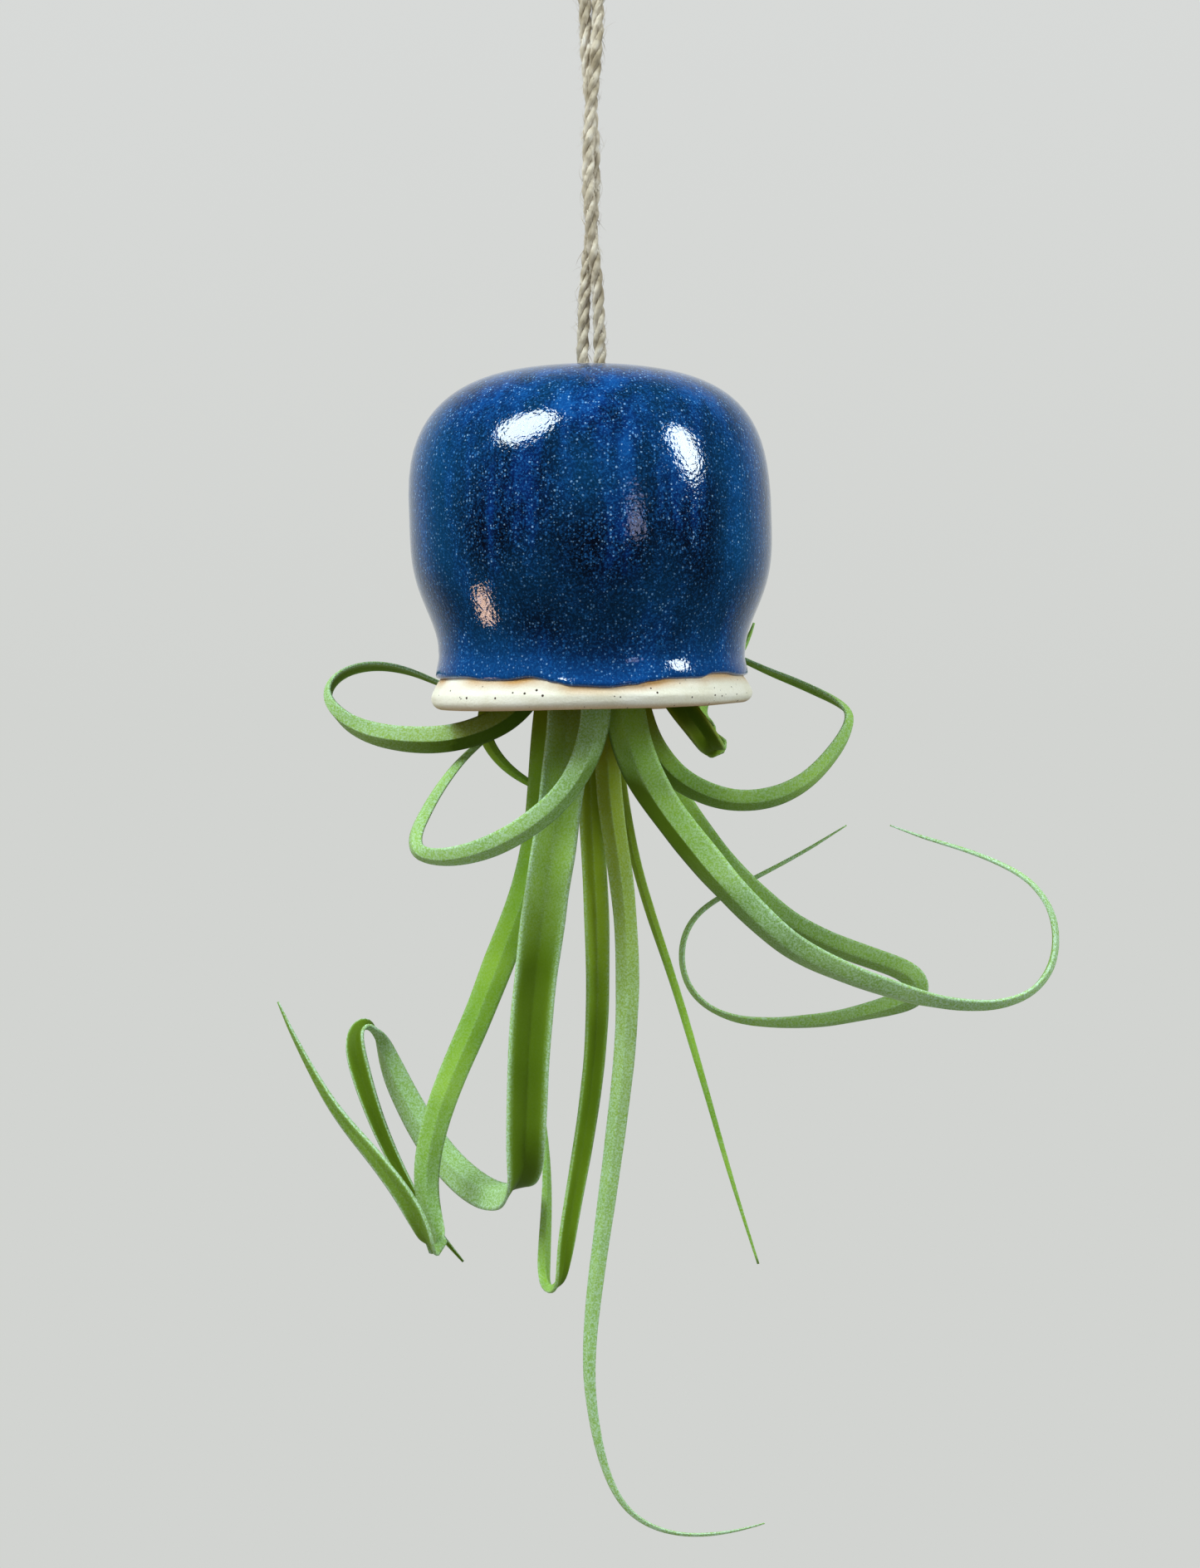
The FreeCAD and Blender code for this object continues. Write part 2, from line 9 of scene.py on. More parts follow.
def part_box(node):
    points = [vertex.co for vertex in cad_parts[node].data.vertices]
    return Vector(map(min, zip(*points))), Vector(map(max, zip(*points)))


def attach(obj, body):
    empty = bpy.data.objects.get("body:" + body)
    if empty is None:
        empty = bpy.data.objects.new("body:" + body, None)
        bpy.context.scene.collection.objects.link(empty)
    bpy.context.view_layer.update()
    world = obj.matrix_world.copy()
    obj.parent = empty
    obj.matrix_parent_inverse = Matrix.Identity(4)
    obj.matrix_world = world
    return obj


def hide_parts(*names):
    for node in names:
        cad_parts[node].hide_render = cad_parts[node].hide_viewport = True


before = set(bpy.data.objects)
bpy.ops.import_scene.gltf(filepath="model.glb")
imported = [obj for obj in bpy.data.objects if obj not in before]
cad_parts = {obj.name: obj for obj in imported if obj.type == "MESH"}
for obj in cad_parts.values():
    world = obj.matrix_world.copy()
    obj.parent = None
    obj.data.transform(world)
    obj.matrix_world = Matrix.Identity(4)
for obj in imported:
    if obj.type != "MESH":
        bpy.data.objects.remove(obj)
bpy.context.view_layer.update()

# Air plant holder: a stoneware bell on a doubled jute twine, with an air plant head down
# in its neck. Metres, +Z up, and +Y away from the front. The origin is the inside of the
# twine's loop, where a hook carries it.
bpy.context.scene.view_settings.view_transform = "Standard"

# The camera: level with the bell's rim and half a metre in front of it, so that the rim
# shows as one line. The photograph's own pixels place the leaves, so they are kept here:
# one pixel is this many metres at the bell's axis.
MM = 0.001
PHOTO_WIDE_PX = 1445
PHOTO_HIGH_PX = 1888
AXIS_PX = 712
RIM_PX = 855
LOWEST_TIP_PX = 1849
PLANT_DROP = 182 * MM
PIXEL = PLANT_DROP / (LOWEST_TIP_PX - RIM_PX)
VIEW_DISTANCE = 520 * MM
SENSOR_HEIGHT = 36
RIM_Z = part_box("bell_body")[0].z
CROWN_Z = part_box("glaze_coat")[1].z

camera = bpy.data.objects.new("camera", bpy.data.cameras.new("camera"))
bpy.context.collection.objects.link(camera)
camera.location = (0, -VIEW_DISTANCE, RIM_Z)
camera.rotation_euler = (math.radians(90), 0, 0)
camera.data.sensor_fit = "VERTICAL"
camera.data.sensor_height = SENSOR_HEIGHT
camera.data.lens = SENSOR_HEIGHT * VIEW_DISTANCE / (PHOTO_HIGH_PX * PIXEL)
camera.data.shift_x = (PHOTO_WIDE_PX / 2 - AXIS_PX) / PHOTO_HIGH_PX
camera.data.shift_y = (RIM_PX - PHOTO_HIGH_PX / 2) / PHOTO_HIGH_PX
camera.data.clip_start = 10 * MM
bpy.context.scene.camera = camera


# The stage: a pale room with its floor well below, lit by two windows in front, high on
# the left and lower on the right, with a doorway between them and a small warm lamp low on
# the left. The glaze shows the room's dark front, and pale walls behind.
FLOOR_Z = -1.4
FLOOR_RADIUS = 0.9
FLOOR_COLOUR = "#D2D4D1"
FLOOR_GLOW = 0.8  # the share of its colour that doesn't depend on the lamps
WALL_COLOUR = "#DBDDDC"
LIGHT_DISTANCE = 1.0
LIGHT_FROM_BELOW = 0.36
LIGHT_FROM_ABOVE = 0.68
DARK_FRONT = 0.05
bell_middle = Vector((0, 0, RIM_Z + 45 * MM))


def linear(hex_colour):
    """An sRGB hex value as the linear colour that a node takes."""
    channels = [int(hex_colour[place:place + 2], 16) / 255 for place in (1, 3, 5)]
    return [c / 12.92 if c <= 0.04045 else ((c + 0.055) / 1.055) ** 2.4 for c in channels] + [1]


def add(owner, kind, inputs=None, stops=(), **settings):
    """Add a node. Its inputs are values, other nodes' sockets, or nodes for their first.

    A ramp's stops are its lowest, its highest and then those between.
    """
    node = owner.node_tree.nodes.new("ShaderNode" + kind)
    for name, value in settings.items():
        setattr(node, name, value)
    for name, value in (inputs or {}).items():
        if isinstance(value, bpy.types.Node):
            value = value.outputs[0]
        if isinstance(value, bpy.types.NodeSocket):
            owner.node_tree.links.new(value, node.inputs[name])
        else:
            node.inputs[name].default_value = value
    for number, (place, colour) in enumerate(stops):
        ramp = node.color_ramp.elements
        stop = ramp[number] if number < 2 else ramp.new(place)
        stop.position = place
        stop.color = linear(colour)
    return node


def finish(name, bm, material):
    """Turn a bmesh into a smooth object at the origin."""
    for face in bm.faces:
        face.smooth = True
    mesh = bpy.data.meshes.new(name)
    bm.to_mesh(mesh)
    bm.free()
    piece = bpy.data.objects.new(name, mesh)
    bpy.context.collection.objects.link(piece)
    mesh.materials.append(material)
    return piece


def new_material(name):
    """A material without any node."""
    material = bpy.data.materials.new(name)
    material.use_nodes = True
    material.node_tree.nodes.clear()
    return material


room = bpy.data.worlds.new("room")
bpy.context.scene.world = room
room.use_nodes = True
room.node_tree.nodes.clear()
rays = add(room, "LightPath")
way = add(room, "TexCoord")
way_parts = add(room, "SeparateXYZ", {"Vector": way.outputs["Generated"]})
wall_tone = add(room, "ValToRGB", {"Fac": way_parts.outputs["Z"]},
                stops=[(0.0, FLOOR_COLOUR), (0.45, WALL_COLOUR)])
soft_light = add(room, "MapRange", {"Value": way_parts.outputs["Z"], "From Min": -1.0,
                                    "To Min": LIGHT_FROM_BELOW, "To Max": LIGHT_FROM_ABOVE})
in_glaze = add(room, "MapRange", {"Value": way_parts.outputs["Y"], "From Min": 0.30,
                                  "From Max": 1.0, "To Min": DARK_FRONT},
               interpolation_type="SMOOTHSTEP")
level = add(room, "Mix", {0: rays.outputs["Is Glossy Ray"], 2: soft_light, 3: in_glaze})
seen = add(room, "Math", {0: rays.outputs["Is Camera Ray"],
                          1: rays.outputs["Is Transmission Ray"]}, operation="MAXIMUM")
level = add(room, "Mix", {0: seen, 2: level, 3: 1.0})
air = add(room, "Background", {"Color": wall_tone, "Strength": level})
add(room, "OutputWorld", {"Surface": air})

# The floor's matte paint, nearly as bright where it is shaded as where it is lit.
floor_paint = new_material("floor_paint")
rays = add(floor_paint, "LightPath")
seen = add(floor_paint, "Math", {0: rays.outputs["Is Camera Ray"],
                                 1: rays.outputs["Is Glossy Ray"]}, operation="MAXIMUM")
seen = add(floor_paint, "Math", {0: seen, 1: rays.outputs["Is Transmission Ray"]},
           operation="MAXIMUM")
glow_share = add(floor_paint, "Math", {0: seen, 1: FLOOR_GLOW}, operation="MULTIPLY")
paint = add(floor_paint, "BsdfDiffuse", {"Color": linear(FLOOR_COLOUR)})
glow = add(floor_paint, "Emission", {"Color": linear(FLOOR_COLOUR), "Strength": 1.0})
mixed = add(floor_paint, "MixShader", {0: glow_share, 1: paint, 2: glow})
add(floor_paint, "OutputMaterial", {"Surface": mixed})

bm = bmesh.new()
bmesh.ops.create_circle(bm, cap_ends=True, segments=96, radius=FLOOR_RADIUS,
                        matrix=Matrix.Translation((0, 0, FLOOR_Z)))
finish("floor", bm, floor_paint)

# Each lamp: its direction from the bell, its width and height in metres, its roll in
# degrees, its brightness and its colour.
LAMPS = {
    "window_left": ((-0.57, -0.49, 0.72), 0.60, 0.40, 50, 21.0, "#EAF8FC"),
    "window_right": ((0.86, -0.33, 0.455), 0.26, 0.46, 12, 22.0, "#EAF8FC"),
    "doorway": ((0.492, -0.867, 0.08), 0.15, 0.19, 0, 4.4, "#C9CBF2"),
    "lamp_warm": ((-0.88, -0.06, -0.55), 0.20, 0.11, 20, 13.0, "#FFD3B4"),
}
for name, (direction, wide, high, roll, brightness, colour) in LAMPS.items():
    lamp = bpy.data.lights.new(name, "AREA")
    lamp.shape = "ELLIPSE"
    lamp.size = wide
    lamp.size_y = high
    lamp.energy = brightness * math.pi ** 2 / 4 * wide * high  # by an ellipse's area
    lamp.color = linear(colour)[:3]
    stand = bpy.data.objects.new(name, lamp)
    bpy.context.collection.objects.link(stand)
    stand.location = bell_middle + Vector(direction).normalized() * LIGHT_DISTANCE
    turned = Vector(direction).to_track_quat("Z", "Y").to_matrix()
    stand.rotation_euler = (turned @ Matrix.Rotation(math.radians(roll), 3, "Z")).to_euler()
    stand.visible_camera = False


# The bell: speckled buff stoneware, thrown on a wheel and trimmed, with a flared foot for
# its rim and a hole cut through the crown. Only the rim and the inside are bare, matte
# clay. It is a little uneven, as thrown ware is.
BELL_RADIUS = 40 * MM
BELL_HEIGHT = 75 * MM
BELLY_HEIGHT = 40 * MM
WAIST_RADIUS = 33.9 * MM
WAIST_HEIGHT = 12.8 * MM
WALL = 4.6 * MM
GLAZE = 0.5 * MM
HOLE_RADIUS = 4.5 * MM
LIP_RADIUS = 35.3 * MM
LIP_ROUND = 1.9 * MM
MOUTH_RADIUS = 30.5 * MM
DOME_EXPONENT = 3.0
FLANK_EASE = 1.5
OUTLINE_STEPS = 22
LIP_STEPS = 8
MOUTH_STEPS = 6
TURN_STEPS = 180

# How uneven it is, where its clay is warmer, and how far up painted shade darkens its lower
# edge.
RIM_LIFT = 2.0 * MM  # of the rim on its right, where the bell is a little shorter
RIM_LIFT_TURN = 1.45  # in radians from the front to the right
RIM_WAVE = 0.25 * MM
OVALNESS = 0.28 * MM
FINGER_MARKS = 0.14 * MM
SHOULDER_LEAN = 0.55 * MM  # to the left
SHOULDER_HEIGHT = 55 * MM
SHOULDER_REACH = 14 * MM
BLUSH_BELOW = 0.4 * MM  # the glaze's end, where the clay is warmest
BLUSH_REACH = 1.9 * MM
BLUSH_PATCH = 9 * MM
EDGE_SHADE_HEIGHT = 1.1 * MM

# The photograph's line where the glaze ends, in its pixels, from the left to the right.
GLAZE_LINE_PX = [
    (530, 818), (556, 816), (587, 819), (610, 819), (639, 816), (651, 818), (667, 822),
    (690, 827), (731, 829), (763, 826), (782, 822), (804, 819), (843, 819), (859, 814),
    (871, 814), (890, 818),
]
# The same line round the back: shares of a turn from the front to the right, and heights
# above the rim.
GLAZE_LINE_BACK = [
    (0.30, 6.8 * MM), (0.36, 6.0 * MM), (0.42, 7.2 * MM), (0.48, 5.6 * MM),
    (0.55, 6.9 * MM), (0.61, 7.4 * MM), (0.67, 6.2 * MM), (0.72, 6.9 * MM),
]


def bell_outline(inset):
    """Radius and height above the rim, from the crown's hole to the waist, moved in."""
    spots = []
    for step in range(OUTLINE_STEPS + 1):
        opened = math.sin(step / OUTLINE_STEPS * math.pi / 2)
        radius = HOLE_RADIUS + (BELL_RADIUS - HOLE_RADIUS) * opened
        fall = min(1, (radius / BELL_RADIUS) ** DOME_EXPONENT)
        rise = (1 - fall) ** (1 / DOME_EXPONENT)
        spots.append(Vector((radius, BELLY_HEIGHT + (BELL_HEIGHT - BELLY_HEIGHT) * rise)))
    for step in range(1, OUTLINE_STEPS + 1):
        share = step / OUTLINE_STEPS
        swell = (1 + math.cos(math.pi * share ** FLANK_EASE)) / 2
        spots.append(Vector((WAIST_RADIUS + (BELL_RADIUS - WAIST_RADIUS) * swell,
                             BELLY_HEIGHT - (BELLY_HEIGHT - WAIST_HEIGHT) * share)))
    moved = []
    for number, spot in enumerate(spots):
        along = spots[min(number + 1, len(spots) - 1)] - spots[max(number - 1, 0)]
        if number == 0:
            along = Vector((1, 0))
        elif number == len(spots) - 1:
            along = Vector((0, -1))
        along.normalize()
        moved.append(spot + Vector((along.y, -along.x)) * inset)
    return moved


def arc(start, middle, end, steps):
    """The places after the start on the arc through three places."""
    a, b = middle - start, end - start
    turn = 2 * (a.x * b.y - a.y * b.x)
    offset = Vector((b.y * a.length_squared - a.y * b.length_squared,
                     a.x * b.length_squared - b.x * a.length_squared)) / turn
    centre = start + offset
    first = math.atan2(start.y - centre.y, start.x - centre.x)
    last = math.atan2(end.y - centre.y, end.x - centre.x)
    way = math.copysign(1, turn)
    sweep = (last - first) * way % (2 * math.pi) * way
    return [centre + Vector((math.cos(first + sweep * step / steps),
                             math.sin(first + sweep * step / steps))) * offset.length
            for step in range(1, steps + 1)]


def turn_of(spot):
    """The share of a turn from the front to the right at which a place lies."""
    return math.atan2(spot.x, -spot.y) / (2 * math.pi) % 1


def glaze_marks():
    """The glaze's end all round, as turns and heights above the rim."""
    marks = list(GLAZE_LINE_BACK)
    for right, down in GLAZE_LINE_PX:
        depth = 0.0
        for _ in range(6):  # until the depth at which the pixel meets the waist settles
            stretch = 1 + depth / VIEW_DISTANCE
            across = (right - AXIS_PX) * PIXEL * stretch
            depth = -math.sqrt(max(WAIST_RADIUS ** 2 - across ** 2, 0))
        height = (RIM_PX - down) * PIXEL * stretch
        marks.append((turn_of(Vector((across, depth, 0))), height))
    marks.sort()
    return [(marks[-1][0] - 1, marks[-1][1])] + marks + [(marks[0][0] + 1, marks[0][1])]


GLAZE_MARKS = glaze_marks()


def glaze_end(turn):
    """The height above the rim at which the glaze ends."""
    for (before, low), (after, high) in zip(GLAZE_MARKS, GLAZE_MARKS[1:]):
        if before <= turn <= after:
            share = (turn - before) / (after - before)
            return low + (high - low) * (1 - math.cos(math.pi * share)) / 2
    return GLAZE_MARKS[0][1]


def hand_thrown(spot):
    """Move a place of the bell as the thrower's hands left it."""
    height = spot.z - RIM_Z
    turn = turn_of(spot) * 2 * math.pi
    out = Vector((spot.x, spot.y, 0))
    low = max(0, 1 - height / WAIST_HEIGHT)
    lift = RIM_LIFT * max(0, math.cos(turn - RIM_LIFT_TURN)) ** 3 * low
    lift += RIM_WAVE * math.sin(3 * turn + 0.8) * low
    swell = OVALNESS * math.sin(2 * turn + height * 60) + FINGER_MARKS * math.sin(5 * turn + 1)
    shoulder = math.exp(-((height - SHOULDER_HEIGHT) / SHOULDER_REACH) ** 2)
    lean = SHOULDER_LEAN * shoulder * -math.sin(turn)
    if out.length > HOLE_RADIUS * 1.5:  # the hole stays round
        out = out + out.normalized() * (swell + lean) * min(1, out.length / WAIST_RADIUS)
    return Vector((out.x, out.y, spot.z + lift))


def spin_section(section):
    """A closed section turned all the way round the bell's axis."""
    bm = bmesh.new()
    ring = [bm.verts.new((spot.x, 0, RIM_Z + spot.y)) for spot in section]
    edges = [bm.edges.new(pair) for pair in zip(ring, ring[1:] + ring[:1])]
    bmesh.ops.spin(bm, geom=ring + edges, cent=(0, 0, 0), axis=(0, 0, 1),
                   angle=2 * math.pi, steps=TURN_STEPS, use_merge=True)
    bmesh.ops.remove_doubles(bm, verts=bm.verts, dist=0.001 * MM)
    bmesh.ops.recalc_face_normals(bm, faces=bm.faces)
    return bm


outside = bell_outline(GLAZE)
inside = bell_outline(GLAZE + WALL)
waist = outside[-1]
flare = arc(waist, Vector((waist.x - LIP_ROUND * 0.1, WAIST_HEIGHT * 0.72)),
            Vector((waist.x, WAIST_HEIGHT * 0.52)), LIP_STEPS)
flare += arc(flare[-1], Vector((LIP_RADIUS - LIP_ROUND * 0.3, LIP_ROUND * 2.3)),
             Vector((LIP_RADIUS, LIP_ROUND * 1.5)), LIP_STEPS)
flare += arc(flare[-1], Vector((LIP_RADIUS - LIP_ROUND * 0.25, LIP_ROUND * 0.5)),
             Vector((LIP_RADIUS - LIP_ROUND, 0)), LIP_STEPS)
mouth = Vector((MOUTH_RADIUS + LIP_ROUND, 0))
throat = arc(mouth, Vector((MOUTH_RADIUS + LIP_ROUND * 0.29, LIP_ROUND * 0.29)),
             Vector((MOUTH_RADIUS, LIP_ROUND)), MOUTH_STEPS)
neck = inside[-1]
throat += [throat[-1].lerp(neck, step / LIP_STEPS) for step in range(1, LIP_STEPS)]
clay_foot = outside + flare
bell_section = clay_foot + [mouth] + throat + inside[::-1]

# Bare buff stoneware, bisque-rough: cream with dark iron specks up to half a millimetre
# across, warmer by the glaze, where the fired iron shows tan. Its lower edge is darkened
# toward tan with painted shade.
stoneware = new_material("buff_stoneware")
place = add(stoneware, "TexCoord")
in_mm = add(stoneware, "Mapping", {"Vector": place.outputs["Object"], "Scale": (1 / MM,) * 3})
cloud = add(stoneware, "TexNoise", {"Vector": in_mm, "Scale": 0.12, "Detail": 4.0})
grain = add(stoneware, "TexNoise", {"Vector": in_mm, "Scale": 2.2, "Detail": 3.0})
clay_tone = add(stoneware, "ValToRGB", {"Fac": cloud},
                stops=[(0.35, "#EFEBDC"), (0.65, "#E2DCC6")])
# The blush attribute: clay warmed by the glaze, and painted shade on the lower edge.
blush_and_shade = add(stoneware, "Attribute", attribute_name="blush_and_shade")
blushed_and_shaded = add(stoneware, "Mix", {0: blush_and_shade.outputs["Fac"], 6: clay_tone, 7: linear("#C08F4E")},
              data_type="RGBA")
specks = add(stoneware, "TexVoronoi", {"Vector": in_mm, "Scale": 0.8})
speck_size = add(stoneware, "SeparateColor", {"Color": specks.outputs["Color"]})
speck_room = add(stoneware, "MapRange", {"Value": speck_size.outputs[0], "From Min": 0.55,
                                         "From Max": 1.0, "To Min": 0.0, "To Max": 0.24})
speck_mask = add(stoneware, "Math", {0: specks.outputs["Distance"], 1: speck_room},
                 operation="LESS_THAN")
speckled = add(stoneware, "Mix", {0: speck_mask, 6: blushed_and_shaded.outputs[2], 7: linear("#3B2A1D")},
               data_type="RGBA")
dusty = add(stoneware, "Mix", {0: 0.35, 6: speckled.outputs[2], 7: grain}, data_type="RGBA",
            blend_type="SOFT_LIGHT")
rings_of_hand = add(stoneware, "TexWave", {"Vector": in_mm, "Scale": 0.16, "Distortion": 1.6,
                                           "Detail": 2.0}, wave_type="BANDS",
                    bands_direction="Z")
relief = add(stoneware, "Math", {0: rings_of_hand.outputs["Fac"], 1: 0.6, 2: grain},
             operation="MULTIPLY_ADD")
bump = add(stoneware, "Bump", {"Height": relief, "Distance": 0.09 * MM})
clay_shader = add(stoneware, "BsdfPrincipled", {
    "Base Color": dusty.outputs[2], "Roughness": 0.78, "IOR": 1.5,
    "Specular IOR Level": 0.35, "Normal": bump})
add(stoneware, "OutputMaterial", {"Surface": clay_shader})

bm = spin_section(bell_section)
blush_and_shade_layer = bm.verts.layers.float.new("blush_and_shade")
for vert in bm.verts:
    height = vert.co.z - RIM_Z
    reach = Vector((vert.co.x, vert.co.y)).length
    from_warmest = abs(height - glaze_end(turn_of(vert.co)) + BLUSH_BELOW)
    by_glaze = max(0, 1 - from_warmest / BLUSH_REACH) * (reach > MOUTH_RADIUS + MM)
    # Painted shade: the lower edge darkened toward tan.
    shade_by_edge = max(0, 1 - height / EDGE_SHADE_HEIGHT) * 0.75
    patch = 0.55 + 0.9 * noise.noise(vert.co / BLUSH_PATCH)
    vert[blush_and_shade_layer] = min(1, max(by_glaze * patch, shade_by_edge, 0))
    vert.co = hand_thrown(vert.co)
bell = finish("bell", bm, stoneware)
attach(bell, "bell")
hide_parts("bell_body")


# The glaze: a glossy cobalt rutile glaze, dipped, half a millimetre thick. It ran down the
# flank and stopped in a thicker rounded end above the bare rim. A dense pale float of
# specks stands in it, over navy in front and teal at the sides. The dark front is painted
# shade, and the crown's lighter teal is a painted reflection.
EDGE_ROLL = 0.60 * MM  # how much thicker its end is
EDGE_SWELL = 4.6 * MM  # how far above the end it starts to thicken
EDGE_NOSE_MM = 0.60  # how far above the end it is rounded over
GLAZE_BITE = 0.15 * MM  # how deep its hidden side lies in the clay
GLAZE_END_MEAN = 6.6 * MM
GLAZE_FOOT_STEPS = 14
POOL_HEIGHT = 6.5 * MM
FRONT_SHADE_HEIGHT, FRONT_SHADE_REACH = 27 * MM, 17 * MM  # where its painted shade is darkest, in front
# Where the crown's painted reflection begins.
CROWN_LIGHT_START = 58 * MM
CLOUD = 16 * MM

skin = bell_outline(0)
under = bell_outline(GLAZE + GLAZE_BITE)
for step in range(1, GLAZE_FOOT_STEPS + 1):
    height = WAIST_HEIGHT + (GLAZE_END_MEAN - WAIST_HEIGHT) * (step / GLAZE_FOOT_STEPS)
    skin.append(Vector((waist.x + GLAZE, height)))
    under.append(Vector((waist.x - GLAZE_BITE, height)))


def clay_radius(height):
    """The clay's outer radius at a height above the rim, up to the waist."""
    for above, below in zip(clay_foot, clay_foot[1:]):
        if below.y <= height <= above.y and above.y - below.y > 0:
            return below.x + (above.x - below.x) * (height - below.y) / (above.y - below.y)
    return LIP_RADIUS


# Cobalt glaze, fired to a wet gloss: nearly black-blue in front, blue-green at the sides,
# and clear blue in the float and where it pooled at its end. The black-blue front is painted
# shade, and the blue-green is lifted at the sides with painted light and at the crown with a
# painted reflection. Its specks are drawn about half a millimetre across, a little coarser
# than the real ones, so that they show.
cobalt = new_material("cobalt_glaze")
place = add(cobalt, "TexCoord")
in_mm = add(cobalt, "Mapping", {"Vector": place.outputs["Object"], "Scale": (1 / MM,) * 3})
upright = add(cobalt, "Mapping", {"Vector": in_mm, "Scale": (1, 1, 0.16)})
streaks = add(cobalt, "TexNoise", {"Vector": upright, "Scale": 0.16, "Detail": 3.0,
                                   "Roughness": 0.55})
drift = add(cobalt, "TexNoise", {"Vector": in_mm, "Scale": 0.40, "Detail": 4.0})
# Painted shade: the depth attribute darkens the front at mid-height.
depth = add(cobalt, "Attribute", attribute_name="depth")
tone = add(cobalt, "Math", {0: drift, 1: 0.35, 2: streaks}, operation="MULTIPLY_ADD")
tone = add(cobalt, "Math", {0: depth.outputs["Fac"], 1: -0.20, 2: tone},
           operation="MULTIPLY_ADD")
body = add(cobalt, "ValToRGB", {"Fac": tone},
           stops=[(0.42, "#020716"), (0.86, "#0C458C"), (0.56, "#03112E"), (0.70, "#05235A")])
# Teal: blue-green clouds, less in front with painted shade, more at the crown with a painted
# reflection.
for coat, colour in (("teal", "#08426C"), ("pool", "#0C407E")):
    level = add(cobalt, "Attribute", attribute_name=coat)
    body = add(cobalt, "Mix", {0: level.outputs["Fac"], 6: body, 7: linear(colour)},
               data_type="RGBA").outputs[2]
granules = add(cobalt, "TexNoise", {"Vector": in_mm, "Scale": 1.90, "Detail": 2.0,
                                    "Roughness": 0.65})
granule_level = add(cobalt, "MapRange", {"Value": granules, "From Min": 0.49, "From Max": 0.59,
                                         "To Max": 0.42})
# Fewer specks where the glaze is darker, so also in the painted shade in front.
fewer = add(cobalt, "MapRange", {"Value": tone, "From Min": 0.42, "From Max": 0.76,
                                 "To Min": 0.42, "To Max": 1.0})
granule_share = add(cobalt, "Math", {0: granule_level, 1: fewer}, operation="MULTIPLY")
granular = add(cobalt, "Mix", {0: granule_share, 6: body, 7: linear("#1D64A8")},
               data_type="RGBA")
fine = add(cobalt, "TexVoronoi", {"Vector": in_mm, "Scale": 1.75})
fine_sort = add(cobalt, "SeparateColor", {"Color": fine.outputs["Color"]})
fine_room = add(cobalt, "MapRange", {"Value": fine_sort.outputs[0], "From Min": 0.10,
                                     "To Min": 0.06, "To Max": 0.50})
fine_dot = add(cobalt, "Math", {0: fine_room, 1: fine.outputs["Distance"]},
               operation="SUBTRACT")
fine_mask = add(cobalt, "MapRange", {"Value": fine_dot, "From Min": 0.0, "From Max": 0.14,
                                     "To Max": 0.78})
fine_share = add(cobalt, "Math", {0: fine_mask, 1: fewer}, operation="MULTIPLY")
dot_colour = add(cobalt, "ValToRGB", {"Fac": fine_sort.outputs[1]},
                 stops=[(0.1, "#2668A8"), (1.0, "#9CC6EA"), (0.62, "#4688C6")])
speckled = add(cobalt, "Mix", {0: fine_share, 6: granular.outputs[2], 7: dot_colour},
               data_type="RGBA")
peel = add(cobalt, "TexNoise", {"Vector": in_mm, "Scale": 1.05, "Detail": 1.0})
peel_bump = add(cobalt, "Bump", {"Height": peel, "Distance": 0.060 * MM})
pinholes = add(cobalt, "TexNoise", {"Vector": in_mm, "Scale": 2.4, "Detail": 2.0})
glaze_bump = add(cobalt, "Bump", {"Height": pinholes, "Distance": 0.022 * MM,
                                  "Normal": peel_bump})
glaze_shader = add(cobalt, "BsdfPrincipled", {
    "Base Color": speckled.outputs[2], "Roughness": 0.035, "IOR": 1.55,
    "Normal": glaze_bump})
add(cobalt, "OutputMaterial", {"Surface": glaze_shader})

bm = spin_section(skin + under[::-1])
pool_layer = bm.verts.layers.float.new("pool")
front_shade_layer = bm.verts.layers.float.new("depth")
teal_and_light_layer = bm.verts.layers.float.new("teal")
for vert in bm.verts:
    height = vert.co.z - RIM_Z
    turn = turn_of(vert.co)
    out = Vector((vert.co.x, vert.co.y, 0))
    if height < WAIST_HEIGHT - 0.01 * MM:
        share = (WAIST_HEIGHT - height) / (WAIST_HEIGHT - GLAZE_END_MEAN)
        height = WAIST_HEIGHT + (glaze_end(turn) - WAIST_HEIGHT) * share
        outward = out.length > waist.x + 0.1 * MM
        near_end = (height - glaze_end(turn)) / MM
        swell = min(1, max(0, 1.25 - near_end * MM / EDGE_SWELL))
        thick = GLAZE + EDGE_ROLL * (1 - math.cos(math.pi * swell)) / 2
        thick *= min(1, math.sqrt(max(0, near_end) / EDGE_NOSE_MM + 0.04))
        radius = clay_radius(height) + (thick if outward else -GLAZE_BITE)
        out = out.normalized() * radius
    vert.co = hand_thrown(Vector((out.x, out.y, RIM_Z + height)))
    above_end = height - glaze_end(turn)
    vert[pool_layer] = 0.75 * math.exp(-(max(0, above_end) / POOL_HEIGHT) ** 2)
    # Painted shade: darkest in front at mid-height.
    middle = math.exp(-((height - FRONT_SHADE_HEIGHT) / FRONT_SHADE_REACH) ** 2)
    facing = math.cos(turn * 2 * math.pi)
    vert[front_shade_layer] = 1.25 * middle * (0.5 + 0.5 * facing)
    # Teal: random clouds, cut in front with painted shade and raised at the crown with a
    # painted reflection.
    cloud_here = noise.noise(vert.co / CLOUD + Vector((3, 1, 7)))
    painted_crown_light = 0.30 * max(0, height - CROWN_LIGHT_START) / (BELL_HEIGHT - CROWN_LIGHT_START)
    sides = 0.84 - 0.78 * max(0, facing) ** 2
    vert[teal_and_light_layer] = min(0.92, max(0, sides + painted_crown_light + 0.60 * cloud_here))
glaze = finish("glaze", bm, cobalt)
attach(glaze, "bell")
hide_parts("glaze_coat")
